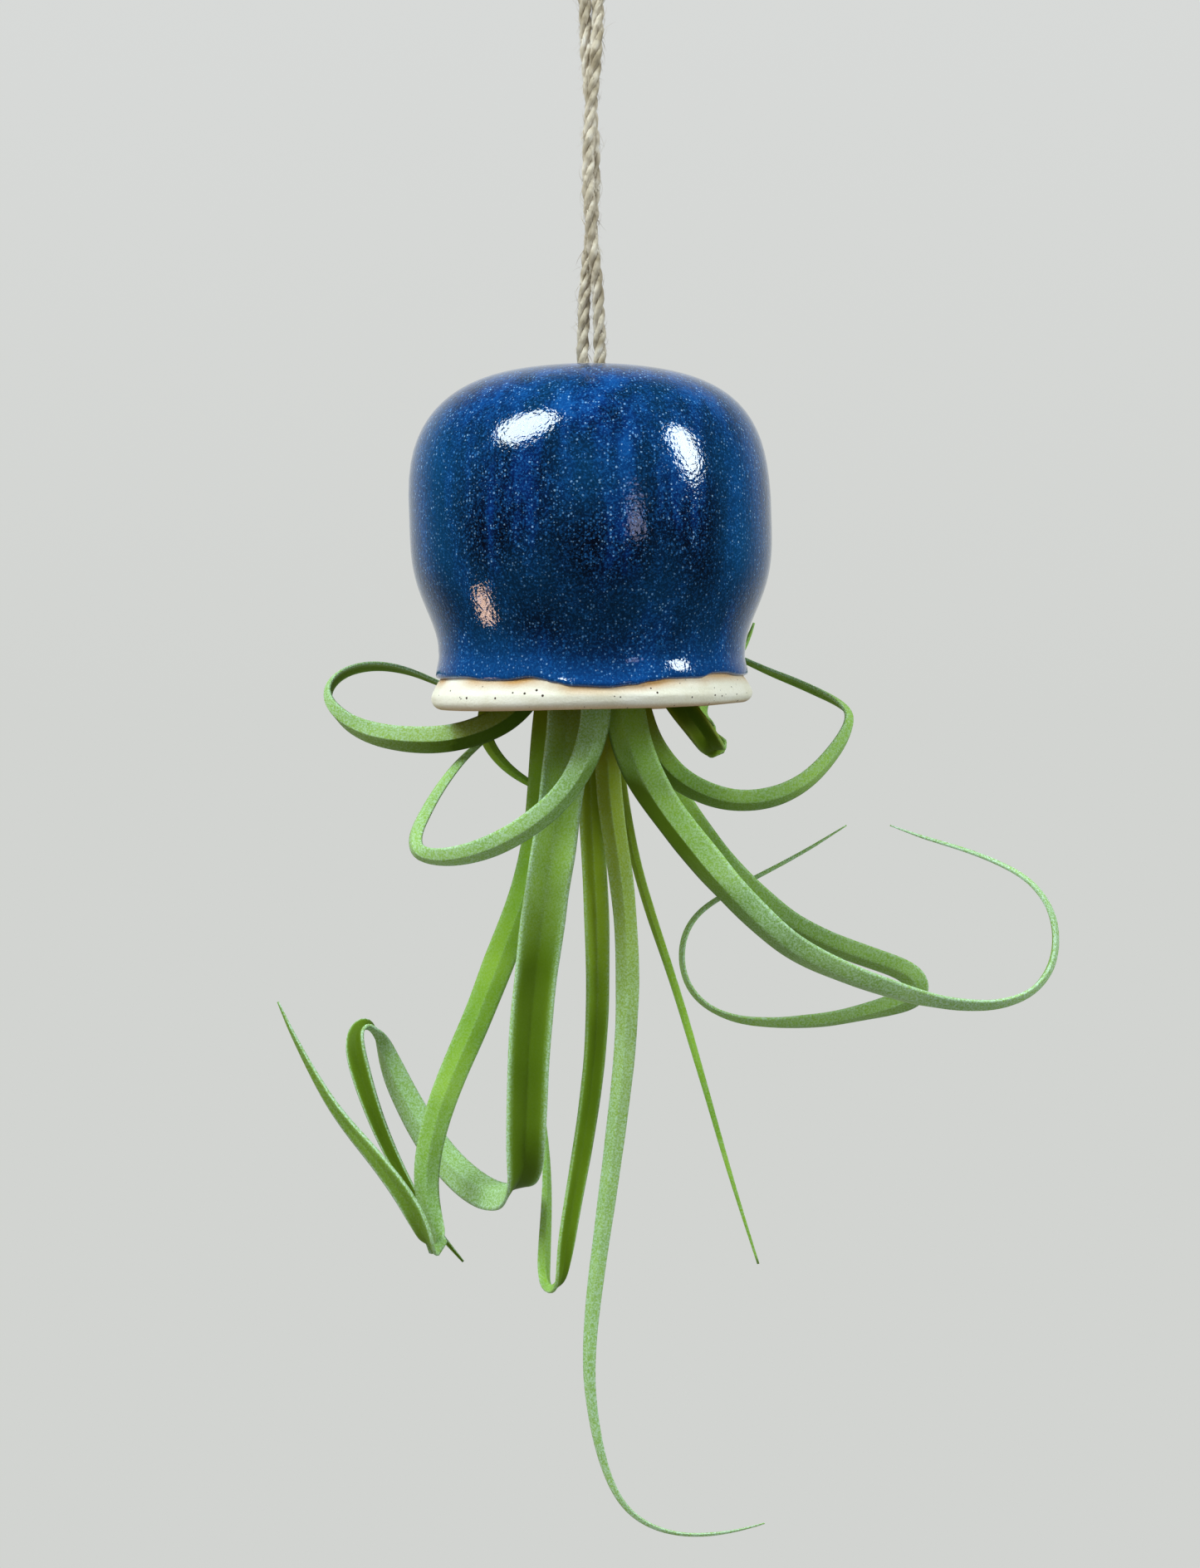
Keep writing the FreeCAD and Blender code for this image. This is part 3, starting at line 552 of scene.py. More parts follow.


# The twine: three-ply jute, doubled over the hook and led down through the crown's hole.
# Its two legs lie against each other and cross three times. Its line is a smooth curve
# led by a listed route, the same as the solid's.
PLIES = 3
PLY_RADIUS = 0.71 * MM
PLY_CLOSENESS = 0.96  # under 1, because they press together
PLY_PITCH = 12.5 * MM
PLY_SIDES = 12
PLY_WILDNESS = 0.22  # how uneven the spinning is
PLY_LUMP = 2.8 * MM
PLY_GRAIN = 1.4 * MM
TWINE_START_Z = CROWN_Z - 5.4 * MM  # under the crown, where the knot begins
TWINE_LEG = [
    (0.00190, 0.00000, TWINE_START_Z),
    (0.00192, 0.00005, -0.09850),
    (0.00180, -0.00020, -0.09100),
    (0.00150, -0.00060, -0.08350),
    (0.00080, -0.00115, -0.07650),
    (0.00000, -0.00135, -0.06950),
    (-0.00050, -0.00126, -0.06250),
    (-0.00070, -0.00118, -0.05550),
    (-0.00050, -0.00126, -0.04850),
    (0.00000, -0.00135, -0.04150),
    (0.00075, -0.00115, -0.03450),
    (0.00122, -0.00062, -0.02800),
    (0.00136, -0.00015, -0.02200),
    (0.00160, 0.00000, -0.01700),
    (0.00785, 0.00000, -0.00254),
    (0.00000, 0.00000, 0.00244),
]
route = TWINE_LEG + [(-x, -y, z) for x, y, z in reversed(TWINE_LEG[:-1])]


def smooth_line(name, points, around=False):
    """The places along a smooth curve led by the points."""
    curve = bpy.data.curves.new(name, "CURVE")
    curve.dimensions = "3D"
    curve.resolution_u = 14
    spline = curve.splines.new("NURBS")
    spline.points.add(len(points) - 1)
    for spot, place in zip(spline.points, points):
        spot.co = (*place, 1)
    spline.order_u = 3
    spline.use_endpoint_u = not around
    spline.use_cyclic_u = around
    holder = bpy.data.objects.new(name, curve)
    bpy.context.collection.objects.link(holder)
    bpy.context.view_layer.update()
    line_mesh = bpy.data.meshes.new_from_object(holder)
    places = [vert.co.copy() for vert in line_mesh.vertices]
    bpy.data.objects.remove(holder)
    bpy.data.curves.remove(curve)
    bpy.data.meshes.remove(line_mesh)
    return places


def carry_frames(places):
    """Along a line: each place, two directions across it, and its length so far."""
    side = Vector((0, 1, 0))
    length = 0.0
    frames = []
    for number, spot in enumerate(places):
        ahead = places[min(number + 1, len(places) - 1)]
        behind = places[max(number - 1, 0)]
        way = (ahead - behind).normalized()
        side = (side - way * side.dot(way)).normalized()
        if number:
            length += (spot - places[number - 1]).length
        frames.append((spot, side.copy(), way.cross(side), length))
    return frames


def bent_sheet(bm, across, along, place_at, uv_at):
    """Add a sheet of faces whose corners (column, row) lie where the functions say."""
    uv = bm.loops.layers.uv.verify()
    made = bmesh.ops.create_grid(bm, x_segments=across, y_segments=along, size=0.5,
                                 calc_uvs=True)
    for vert in made["verts"]:
        corner = round((vert.co.x + 0.5) * across), round((vert.co.y + 0.5) * along)
        for loop in vert.link_loops:
            loop[uv].uv = uv_at(*corner)
        vert.co = place_at(*corner)
    return made["verts"]


def lay_plies(bm, places):
    """Twist three plies round a line. Their UV map is in millimetres, round and along."""
    frames = carry_frames(places)
    for ply in range(PLIES):
        centres = []
        for spot, side, up, length in frames:
            angle = 2 * math.pi * (length / PLY_PITCH + ply / PLIES)
            out = side * math.cos(angle) + up * math.sin(angle)
            centres.append(spot + out * PLY_RADIUS * PLY_CLOSENESS)
        tube = carry_frames(centres)

        def place_at(column, row):
            spot, side, up, length = tube[row]
            angle = 2 * math.pi * column / PLY_SIDES
            thick = noise.noise(Vector((length / PLY_LUMP, ply * 7.3, 0)))
            rough = noise.noise(Vector((math.cos(angle) * 1.7 + ply * 9, math.sin(angle) * 1.7,
                                        length / PLY_GRAIN)))
            reach = PLY_RADIUS * (1 + PLY_WILDNESS * thick + PLY_WILDNESS * rough)
            return spot + (side * math.cos(angle) + up * math.sin(angle)) * reach

        def uv_at(column, row):
            return column / PLY_SIDES * 2 * math.pi * PLY_RADIUS / MM, tube[row][3] / MM

        verts = bent_sheet(bm, PLY_SIDES, len(tube) - 1, place_at, uv_at)
        bmesh.ops.remove_doubles(bm, verts=verts, dist=0.01 * MM)
    bmesh.ops.holes_fill(bm, edges=[edge for edge in bm.edges if edge.is_boundary], sides=0)


# Raw jute, softly spun: dull straw fibres that lie along each ply, darker in the grooves, a
# painted shade, and paler where single fibres catch the light, a painted highlight. Its
# fibres are drawn about a third of a millimetre wide, coarser than the real ones, so that
# they show.
jute = new_material("jute")
fibre_map = add(jute, "UVMap", uv_map="UVMap")
along_ply = add(jute, "Mapping", {"Vector": fibre_map, "Rotation": (0, 0, 0.42),
                                  "Scale": (3.0, 0.34, 1.0)})
fibres = add(jute, "TexNoise", {"Vector": along_ply, "Scale": 1.0, "Detail": 3.0,
                                "Roughness": 0.6})
place = add(jute, "TexCoord")
in_mm = add(jute, "Mapping", {"Vector": place.outputs["Object"], "Scale": (1 / MM,) * 3})
blotch = add(jute, "TexNoise", {"Vector": in_mm, "Scale": 0.30, "Detail": 2.0})
# The fibres' relief sets their colour too: darker in the grooves and paler on top, painted
# shade and highlight.
tone = add(jute, "Math", {0: blotch, 1: 0.45, 2: fibres}, operation="MULTIPLY_ADD")
straw = add(jute, "ValToRGB", {"Fac": tone},
            stops=[(0.54, "#4A3F30"), (0.88, "#F0EADF"), (0.66, "#96886F"), (0.76, "#C6BAA5")])
straw_bump = add(jute, "Bump", {"Height": fibres, "Distance": 0.30 * MM})
jute_shader = add(jute, "BsdfPrincipled", {
    "Base Color": straw, "Roughness": 0.85, "Specular IOR Level": 0.25,
    "Sheen Weight": 0.25, "Normal": straw_bump})
add(jute, "OutputMaterial", {"Surface": jute_shader})

twine_line = smooth_line("twine_route", route)
bm = bmesh.new()
lay_plies(bm, twine_line)
twine = finish("doubled_twine", bm, jute)
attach(twine, "cord")
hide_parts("twine")


# The twine's loose fibres: ends of jute that work out of the spinning, three-sided, each
# leaning along the twine and curling over to a point.
FIBRES = 2600
FIBRE_BATCHES = 26  # a few at a time, because one great mesh is slow to add to
FIBRE_LENGTH = 5.5 * MM
FIBRE_SHORTEST = 0.16  # as a share of that length
FIBRE_START = 0.9 * MM  # from the twine's middle, inside a ply
FIBRE_LEAN = (0.5, 1.6)
FIBRE_CURL = 1.3
FIBRE_THICK_MM = (0.045, 0.100)
FIBRE_TAPER = 0.85
FIBRE_ROUND_MM = 0.2
FIBRE_ROWS = 5
FIBRE_SIDES = 3


def grow_fibres(bm, places, count):
    """Loose fibres that leave the twine, bend over and end in a point."""
    frames = carry_frames(places)
    for _ in range(count):
        spot, side, up = frames[dice.randrange(2, len(frames) - 2)][:3]
        way = side.cross(up)
        angle = dice.uniform(0, 2 * math.pi)
        out = side * math.cos(angle) + up * math.sin(angle)
        over = out.cross(way)
        length = FIBRE_LENGTH * (FIBRE_SHORTEST + (1 - FIBRE_SHORTEST) * dice.random() ** 4)
        lean = dice.choice((-1, 1)) * dice.uniform(*FIBRE_LEAN)
        curl = dice.uniform(-FIBRE_CURL, FIBRE_CURL)
        thick = dice.uniform(*FIBRE_THICK_MM) * MM

        def place_at(column, row):
            share = row / FIBRE_ROWS
            spine = spot + out * (FIBRE_START + length * share * (0.55 - 0.3 * share))
            spine = spine + way * length * share * lean * 0.55
            spine = spine + over * length * share ** 2 * curl * 0.5
            turn = 2 * math.pi * column / FIBRE_SIDES
            ring = out * math.cos(turn) + over * math.sin(turn)
            return spine + ring * thick * (1 - FIBRE_TAPER * share)

        def uv_at(column, row):
            return column / FIBRE_SIDES * FIBRE_ROUND_MM, row / FIBRE_ROWS * length / MM

        verts = bent_sheet(bm, FIBRE_SIDES, FIBRE_ROWS, place_at, uv_at)
        bmesh.ops.remove_doubles(bm, verts=verts, dist=0.0001 * MM)


dice = random.Random(7)
bm = bmesh.new()
for _ in range(FIBRE_BATCHES):
    few = bmesh.new()
    grow_fibres(few, twine_line, FIBRES // FIBRE_BATCHES)
    batch = bpy.data.meshes.new("fibre_batch")
    few.to_mesh(batch)
    few.free()
    bm.from_mesh(batch)
    bpy.data.meshes.remove(batch)
fuzz = finish("twine_fuzz", bm, jute)
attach(fuzz, "cord")


# The stopper knot: the twine's two ends tied together in a tight overhand knot under the
# crown, too big for its hole, so that it carries the bell.
KNOT_RADIUS = 5.6 * MM
KNOT_RISE = 4.2 * MM
KNOT_MIDDLE_Z = TWINE_START_Z - 5.5 * MM
KNOT_POINTS = 15
knot_route = []
for step in range(KNOT_POINTS):
    turn = 2 * math.pi * step / KNOT_POINTS
    knot_route.append((
        (math.sin(turn) + 2 * math.sin(2 * turn)) / 3 * KNOT_RADIUS,
        (math.cos(turn) - 2 * math.cos(2 * turn)) / 3 * KNOT_RADIUS,
        KNOT_MIDDLE_Z - math.sin(3 * turn) * KNOT_RISE,
    ))
tie = smooth_line("knot_route", knot_route, around=True)
bm = bmesh.new()
lay_plies(bm, tie + tie[:1])
knot = finish("overhand_knot", bm, jute)
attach(knot, "cord")
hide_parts("stopper_knot")
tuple(route[0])


# The air plant's base: its leaf sheaths rolled over each other into a bulb, brown and dry
# at the cut stem, which points up into the bell.
BASE_RADIUS = 10 * MM
BASE_HEIGHT = 31 * MM
BASE_RISE = 13 * MM
BASE_STEPS = 18
SHEATHS = 7
SHEATH_STEP = 0.9 * MM  # from one sheath's edge down to the next
SHEATH_WIND = 2.2  # how many sheaths their edges wind past on the way up
# The base's outline: shares of its radius, and of its height from below.
BASE_SHARES = [(0.78, 0.0), (0.96, 0.18), (1.0, 0.40), (0.78, 0.72), (0.34, 1.0)]
base_side = [Vector((BASE_RADIUS * wide, BASE_RISE + BASE_HEIGHT * high))
             for wide, high in BASE_SHARES]
side = [base_side[0]] + arc(*base_side[0:3], BASE_STEPS) + arc(*base_side[2:5], BASE_STEPS)
base_section = [Vector((0, side[0].y))] + side + [Vector((0, side[-1].y))]

# Dry leaf sheath: straw brown, matte and papery, greener toward the leaves.
husk = new_material("dry_sheath")
place = add(husk, "TexCoord")
in_mm = add(husk, "Mapping", {"Vector": place.outputs["Object"], "Scale": (1 / MM,) * 3})
ribs = add(husk, "TexNoise", {"Vector": in_mm, "Scale": 0.8, "Detail": 4.0})
height = add(husk, "SeparateXYZ", {"Vector": in_mm})
ripe = add(husk, "MapRange", {
    "Value": height.outputs["Z"], "From Min": (RIM_Z + BASE_RISE) / MM,
    "From Max": (RIM_Z + BASE_RISE + 0.7 * BASE_HEIGHT) / MM})
husk_tone = add(husk, "Math", {0: ribs, 1: 0.5, 2: ripe}, operation="MULTIPLY_ADD")
papery = add(husk, "ValToRGB", {"Fac": husk_tone},
             stops=[(0.25, "#4E6A22"), (1.0, "#7A5836"), (0.6, "#A39A5E")])
husk_bump = add(husk, "Bump", {"Height": ribs, "Distance": 0.2 * MM})
husk_shader = add(husk, "BsdfPrincipled", {"Base Color": papery, "Roughness": 0.8,
                                           "Normal": husk_bump})
add(husk, "OutputMaterial", {"Surface": husk_shader})

bm = spin_section(base_section)
for vert in bm.verts:
    out = Vector((vert.co.x, vert.co.y, 0))
    if out.length > 0.1 * MM:
        high = (vert.co.z - RIM_Z - BASE_RISE) / BASE_HEIGHT
        wrap = (turn_of(vert.co) * SHEATHS + high * SHEATH_WIND) % 1
        depth = min(1, out.length / BASE_RADIUS * 1.4)
        vert.co -= out.normalized() * SHEATH_STEP * wrap ** 3 * depth
base = finish("leaf_bases", bm, husk)
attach(base, "plant")
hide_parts("plant_base")


# The leaves: long channelled straps, thick along the keel and thin at the margins, which
# taper to a curled tip. Each follows the photograph's pixels, and its channel turns as it
# goes. Three short ones bow out against the neck and hold the plant in.
LEAF_KEEL = 1.15 * MM  # its thickness along the keel, where it has its full width or more
LEAF_FULL_WIDTH = 3.25 * MM
LEAF_THIN_SHARE = 0.35  # of that thickness, as it narrows to nothing
LEAF_EDGE_SHARE = 0.45  # of the thickness along the keel, at its margins
TIP_WIDTH = 0.55 * MM
WIDTH_WAVER, WIDTH_WAVER_LENGTH = 0.05, 14 * MM
FACE_WAVER, FACE_WAVER_LENGTH = 0.03, 9 * MM
SECTION_STEPS = 16
SPAN_STEPS = 6
MIDDLE_SHARE = 0.4  # where along a leaf its felt is as thick as its middle's
MARGIN_FELT = 0.22
KEEL_FELT = 0.10
KEEL_REACH = 0.16  # as a share of half the width
CHANNEL_BARE = 0.62  # how much of its felt the channel lacks
BELL_SHADE_DEPTH = 14 * MM  # how far below the rim the bell's painted shade on the leaves' roots reaches
LIT_FROM = 18 * MM  # how far in front of the axis a leaf is when the bell shades it least

# Each leaf: its width in pixels, the power of its taper, its channel's depth as a share of
# its width, and rows of pixels right, down and away and the turn of its face in degrees.
# The rows are the solids', but leaf_front_loop, leaf_folded and leaf_spiral turn their
# faces further to the front over a part of their length, which suits the photograph better.
LEAF_PIXELS = {
    "leaf_left_loop": (38, 1.8, 0.26, [
        (676, 730, -8, -100), (662, 785, -10, -105), (640, 838, -12, -105),
        (610, 868, -16, -105), (575, 884, -20, -105), (538, 893, -20, -105),
        (498, 894, -16, -105), (452, 889, -8, -110), (412, 874, 6, -130),
        (389, 850, 22, -160), (388, 824, 42, -190), (410, 804, 66, -205),
        (442, 796, 92, -210), (476, 799, 120, -210), (505, 808, 150, -205),
        (530, 820, 178, -200), (562, 832, 206, -200), (600, 840, 228, -200),
        (640, 842, 244, -200),
    ]),
    "leaf_front_loop": (36, 2.4, 0.24, [
        (716, 715, -42, -90), (719, 775, -76, -90), (719, 830, -94, -95),
        (719, 868, -104, -100), (714, 898, -112, -110), (700, 935, -118, -120),
        (676, 968, -120, -120), (640, 997, -116, -115), (600, 1020, -108, -112),
        (558, 1034, -96, -115), (522, 1038, -82, -125), (496, 1029, -66, -135),
        (494, 1004, -50, -138), (508, 978, -34, -138), (524, 950, -18, -138),
        (547, 920, -2, -138), (571, 897, 12, -138), (594, 879, 22, -138),
        (616, 866, 28, -138), (640, 855, 34, -138),
    ]),
    "leaf_back_strap": (28, 1.6, 0.16, [
        (682, 715, 28, -80), (640, 770, 42, -80), (600, 820, 52, -80),
        (582, 858, 58, -80), (582, 884, 62, -80), (593, 906, 66, -80),
        (612, 927, 70, -80), (636, 943, 74, -80), (664, 956, 78, -80),
        (692, 966, 80, -80),
    ]),
    "leaf_broad": (54, 2.6, 0.26, [
        (695, 765, -26, 90), (689, 800, -42, 90), (686, 850, -54, 85),
        (681, 900, -58, 80), (673, 950, -56, 75), (667, 1000, -52, 75),
        (658, 1060, -46, 80), (651, 1120, -40, 85), (643, 1190, -34, 88),
        (637, 1260, -30, 90), (635, 1330, -26, 90), (632, 1380, -20, 85),
        (627, 1414, -8, 55), (613, 1430, 16, 5), (592, 1436, 44, -40),
        (566, 1425, 64, -70), (543, 1405, 76, -80), (520, 1378, 86, -85),
        (498, 1343, 92, -90), (475, 1302, 98, -100), (457, 1263, 102, -130),
        (446, 1238, 96, -170), (434, 1240, 84, -215), (430, 1262, 76, -250),
        (436, 1294, 70, -265), (448, 1333, 64, -270), (463, 1371, 58, -270),
        (484, 1414, 52, -270), (508, 1456, 46, -270), (532, 1489, 42, -270),
        (558, 1519, 38, -270),
    ]),
    "leaf_creased": (39, 3.0, 0.17, [
        (686, 760, 26, -90), (670, 805, 42, -90), (660, 857, 52, -90),
        (656, 920, 54, -90), (652, 985, 50, -90), (641, 1050, 44, -90),
        (620, 1110, 38, -90), (602, 1155, 34, -90), (587, 1195, 30, -90),
        (571, 1235, 26, -90), (553, 1275, 22, -90), (537, 1313, 18, -90),
        (524, 1352, 14, -90), (515, 1390, 10, -90), (512, 1428, 6, -90),
        (516, 1462, 2, -75), (526, 1496, -6, -40), (524, 1502, -24, 20),
        (507, 1472, -32, 70), (490, 1444, -34, 85), (468, 1413, -34, 85),
        (444, 1384, -34, 85), (421, 1357, -33, 80), (400, 1329, -32, 75),
        (382, 1299, -30, 70), (364, 1266, -28, 65), (349, 1236, -26, 60),
        (335, 1206, -24, 60),
    ]),
    "leaf_folded": (31, 3.2, 0.24, [
        (707, 765, 8, 80), (709, 815, 10, 80), (710, 870, 12, 80),
        (709, 925, 12, 80), (711, 980, 10, 80), (714, 1035, 10, 80),
        (717, 1095, 9, 78), (718, 1155, 8, 76), (718, 1215, 7, 74),
        (714, 1278, 5, 72), (706, 1340, 3, 70), (697, 1397, 1, 70),
        (687, 1452, -1, 70), (679, 1502, -1, 68), (672, 1542, 4, 40),
        (661, 1552, 18, -20), (656, 1530, 28, -65), (657, 1488, 32, -80),
        (659, 1446, 34, -80), (659, 1402, 37, -80), (656, 1358, 40, -80),
        (650, 1316, 42, -80),
    ]),
    "leaf_trailing": (31, 1.9, 0.22, [
        (722, 765, -8, -90), (726, 812, -8, -90), (729, 857, -10, -90),
        (731, 900, -12, -90), (733, 950, -14, -90), (739, 1000, -16, -90),
        (747, 1048, -18, -90), (753, 1102, -18, -90), (756, 1160, -18, -90),
        (755, 1218, -18, -85), (751, 1276, -18, -80), (744, 1335, -16, -80),
        (737, 1393, -14, -80), (729, 1452, -12, -80), (721, 1510, -10, -80),
        (713, 1568, -8, -75), (708, 1624, -8, -70), (708, 1668, -8, -65),
        (713, 1710, -8, -60), (721, 1750, -8, -55), (733, 1788, -8, -50),
        (751, 1819, -8, -45), (778, 1839, -8, -45), (812, 1850, -6, -45),
        (850, 1851, -4, -45), (888, 1845, -2, -45), (921, 1835, 0, -45),
    ]),
    "leaf_needle": (16, 1.5, 0.18, [
        (727, 765, 22, -70), (733, 812, 28, -70), (738, 865, 32, -70),
        (745, 930, 30, -70), (754, 990, 26, -70), (766, 1045, 20, -70),
        (784, 1105, 14, -70), (804, 1162, 10, -70), (822, 1219, 6, -70),
        (839, 1277, 2, -70), (856, 1335, 0, -70), (873, 1395, -2, -70),
        (892, 1457, -4, -70), (913, 1522, -6, -70),
    ]),
    "leaf_sweeping": (51, 1.7, 0.24, [
        (733, 730, -34, -80), (741, 785, -58, -80), (747, 838, -72, -78),
        (753, 880, -82, -75), (763, 918, -92, -70), (780, 952, -100, -66),
        (802, 985, -106, -62), (826, 1017, -110, -60), (851, 1048, -112, -58),
        (878, 1078, -112, -56), (905, 1106, -110, -55), (933, 1132, -108, -52),
        (965, 1155, -104, -50), (1004, 1173, -98, -48), (1050, 1191, -90, -44),
        (1100, 1208, -80, -38), (1154, 1219, -68, -30), (1206, 1217, -54, -20),
        (1248, 1200, -40, -12), (1272, 1168, -26, -8), (1278, 1130, -14, -6),
        (1269, 1090, -2, -6), (1245, 1058, 8, -6), (1206, 1036, 16, -8),
        (1155, 1018, 22, -10), (1110, 1006, 26, -10), (1072, 993, 30, -10),
    ]),
    "leaf_spiral": (38, 2.3, 0.24, [
        (733, 740, 34, -80), (746, 790, 42, -80), (760, 845, 46, -80),
        (774, 890, 54, -78), (798, 942, 62, -74), (836, 1002, 68, -70),
        (880, 1056, 72, -66), (924, 1098, 74, -62), (962, 1124, 76, -60),
        (1010, 1145, 80, -58), (1058, 1161, 84, -58), (1102, 1176, 90, -60),
        (1106, 1200, 100, -90), (1078, 1213, 108, -110), (1042, 1223, 112, -126),
        (1000, 1233, 114, -134), (950, 1238, 114, -142), (900, 1236, 112, -152),
        (860, 1224, 110, -175), (833, 1202, 108, -178), (819, 1175, 106, -180),
        (816, 1146, 104, -180), (822, 1119, 102, -180), (838, 1096, 100, -176),
        (864, 1078, 98, -172), (893, 1062, 96, -170), (920, 1048, 94, -168),
        (950, 1033, 92, -166), (982, 1015, 90, -165), (1019, 993, 88, -165),
    ]),
    "leaf_right_loop": (34, 2.1, 0.24, [
        (738, 760, 2, -70), (752, 805, 4, -72), (765, 850, 2, -74),
        (775, 884, 0, -74), (790, 912, -4, -72), (812, 938, -8, -70),
        (840, 955, -10, -66), (870, 966, -10, -62), (904, 969, -6, -60),
        (942, 962, 0, -60), (977, 942, 8, -56), (1006, 912, 18, -50),
        (1026, 882, 30, -40), (1030, 858, 44, -20), (1014, 842, 60, 10),
        (989, 830, 80, 25), (960, 818, 104, 30), (928, 806, 130, 30),
        (898, 793, 154, 30), (868, 779, 174, 30), (836, 766, 190, 30),
        (800, 754, 200, 30),
    ]),
    "leaf_cropped": (42, 1.6, 0.22, [
        (748, 715, 14, 70), (774, 770, 22, 70), (797, 818, 26, 70),
        (816, 850, 28, 72), (836, 873, 32, 78), (858, 897, 44, 110),
        (862, 899, 64, 165), (850, 882, 90, 225), (840, 864, 122, 255),
        (844, 844, 156, 265), (862, 822, 182, 268), (884, 799, 192, 270),
        (900, 773, 190, 270), (908, 750, 186, 270),
    ]),
}

LEAF_COATS = ("felt", "olive_and_shade", "shade", "shade_below")
# Each leaf's felt at its root, its middle and its tip; how far along it is olive, as a share
# of its length; how dark the painted shade in its channel is, and from what share of its
# length on; and how strongly its underside near the root is painted with shade.
LEAF_LOOKS = {
    "leaf_left_loop": (0.30, 0.50, 0.60, 0.50, 0.90, 0.0, 1.7),
    "leaf_front_loop": (0.52, 0.50, 0.42, 0.08, 0.35, 0.0, 1.4),
    "leaf_back_strap": (0.03, 0.06, 0.12, 0.60, 0.60, 0.0, 1.0),
    "leaf_broad": (0.50, 0.55, 0.60, 0.14, 1.20, 0.22, 0.3),
    "leaf_creased": (0.05, 0.10, 1.60, 0.12, 0.80, 0.0, 0.3),
    "leaf_folded": (0.05, 0.12, 0.40, 0.50, 0.95, 0.38, 0.3),
    "leaf_trailing": (0.00, 0.48, 0.80, 0.60, 0.45, 0.0, 0.5),
    "leaf_needle": (0.03, 0.08, 0.20, 0.65, 0.60, 0.0, 0.5),
    "leaf_sweeping": (0.12, 0.58, 0.90, 0.10, 0.30, 0.0, 1.6),
    "leaf_spiral": (0.10, 0.35, 0.55, 0.20, 0.55, 0.0, 1.3),
    "leaf_right_loop": (0.12, 0.32, 0.40, 0.20, 0.45, 0.0, 1.2),
    "leaf_cropped": (0.05, 0.12, 0.30, 0.55, 0.80, 0.0, 0.6),
    "neck_leaf": (0.10, 0.30, 0.40, 0.40, 0.50, 0.0, 0.5),
}

# Air plant leaf: smooth green skin under a felt of silver scales that catches the light.
# The felt is thick on a leaf's back, its margins and its tip, and thin in its channel and
# near its root, which is olive. Shade is painted into its channel, onto its underside near
# the root and onto its root under the bell's rim: darker, more olive and with less felt.
# Faint veins run along it. The scales are drawn 0.4 mm across, coarser than the real ones,
# so that they show.
leaf_skin = new_material("trichome_leaf")
leaf_map = add(leaf_skin, "UVMap", uv_map="UVMap")
along_leaf = add(leaf_skin, "Mapping", {"Vector": leaf_map, "Scale": (2.0, 0.05, 1)})
veins = add(leaf_skin, "TexNoise", {"Vector": along_leaf, "Scale": 1.0, "Detail": 2.0})
place = add(leaf_skin, "TexCoord")
in_mm = add(leaf_skin, "Mapping", {"Vector": place.outputs["Object"], "Scale": (1 / MM,) * 3})
patches = add(leaf_skin, "TexNoise", {"Vector": in_mm, "Scale": 0.07, "Detail": 2.0})
scales = add(leaf_skin, "TexNoise", {"Vector": in_mm, "Scale": 2.3, "Detail": 3.0,
                                     "Roughness": 0.7})
green_tone = add(leaf_skin, "Mix", {0: 0.68, 2: patches, 3: veins})
green = add(leaf_skin, "ValToRGB", {"Fac": green_tone},
            stops=[(0.36, "#5C8A08"), (0.66, "#A0CA3A"), (0.50, "#80AC18")])
# The olive coat: olive near the root, deepened by the painted shade under the rim; the shade
# coat is painted shade.
for coat, colour in (("olive_and_shade", "#8A8E06"), ("shade", "#425A00")):
    level = add(leaf_skin, "Attribute", attribute_name=coat)
    green = add(leaf_skin, "Mix", {0: level.outputs["Fac"], 6: green, 7: linear(colour)},
                data_type="RGBA").outputs[2]
felt = add(leaf_skin, "Attribute", attribute_name="felt")
scale_level = add(leaf_skin, "MapRange", {"Value": scales, "From Min": 0.40, "From Max": 0.64,
                                          "To Min": 0.25, "To Max": 1.45})
felt_level = add(leaf_skin, "Math", {0: felt.outputs["Fac"], 1: scale_level},
                 operation="MULTIPLY", use_clamp=True)
felted = add(leaf_skin, "Mix", {0: felt_level, 6: green, 7: linear("#BEDCBC")},
             data_type="RGBA")
skin_relief = add(leaf_skin, "Math", {0: veins, 1: 1.4, 2: scales}, operation="MULTIPLY_ADD")
leaf_bump = add(leaf_skin, "Bump", {"Height": skin_relief, "Distance": 0.05 * MM})
leaf_shader = add(leaf_skin, "BsdfPrincipled", {
    "Base Color": felted.outputs[2], "Roughness": 0.58, "Specular IOR Level": 0.08,
    "Sheen Weight": 0.02, "Sheen Roughness": 0.4, "Normal": leaf_bump})
add(leaf_skin, "OutputMaterial", {"Surface": leaf_shader})


def leaf_spot(right, down, away):
    """The place of a photograph's pixel that lies the given number of pixels away."""
    stretch = 1 + away * PIXEL / VIEW_DISTANCE
    return Vector(((right - AXIS_PX) * PIXEL * stretch, away * PIXEL,
                   RIM_Z - (down - RIM_PX) * PIXEL * stretch))


def leaf_line(guide):
    """Places and face turns along a leaf, on a smooth cubic line led by its guide."""
    before = (guide[0][0] * 2 - guide[1][0], guide[0][1])
    after = (guide[-1][0] * 2 - guide[-2][0], guide[-1][1])
    guide = [before] + guide + [after]
    places = []
    for span in range(len(guide) - 3):
        for step in range(SPAN_STEPS + (span == len(guide) - 4)):
            t = step / SPAN_STEPS
            weights = ((1 - t) ** 3 / 6, (3 * t ** 3 - 6 * t ** 2 + 4) / 6,
                       (-3 * t ** 3 + 3 * t ** 2 + 3 * t + 1) / 6, t ** 3 / 6)
            spot = Vector()
            turn = 0
            for weight, (place, face_turn) in zip(weights, guide[span:span + 4]):
                spot = spot + place * weight
                turn += face_turn * weight
            places.append((spot, turn))
    return places


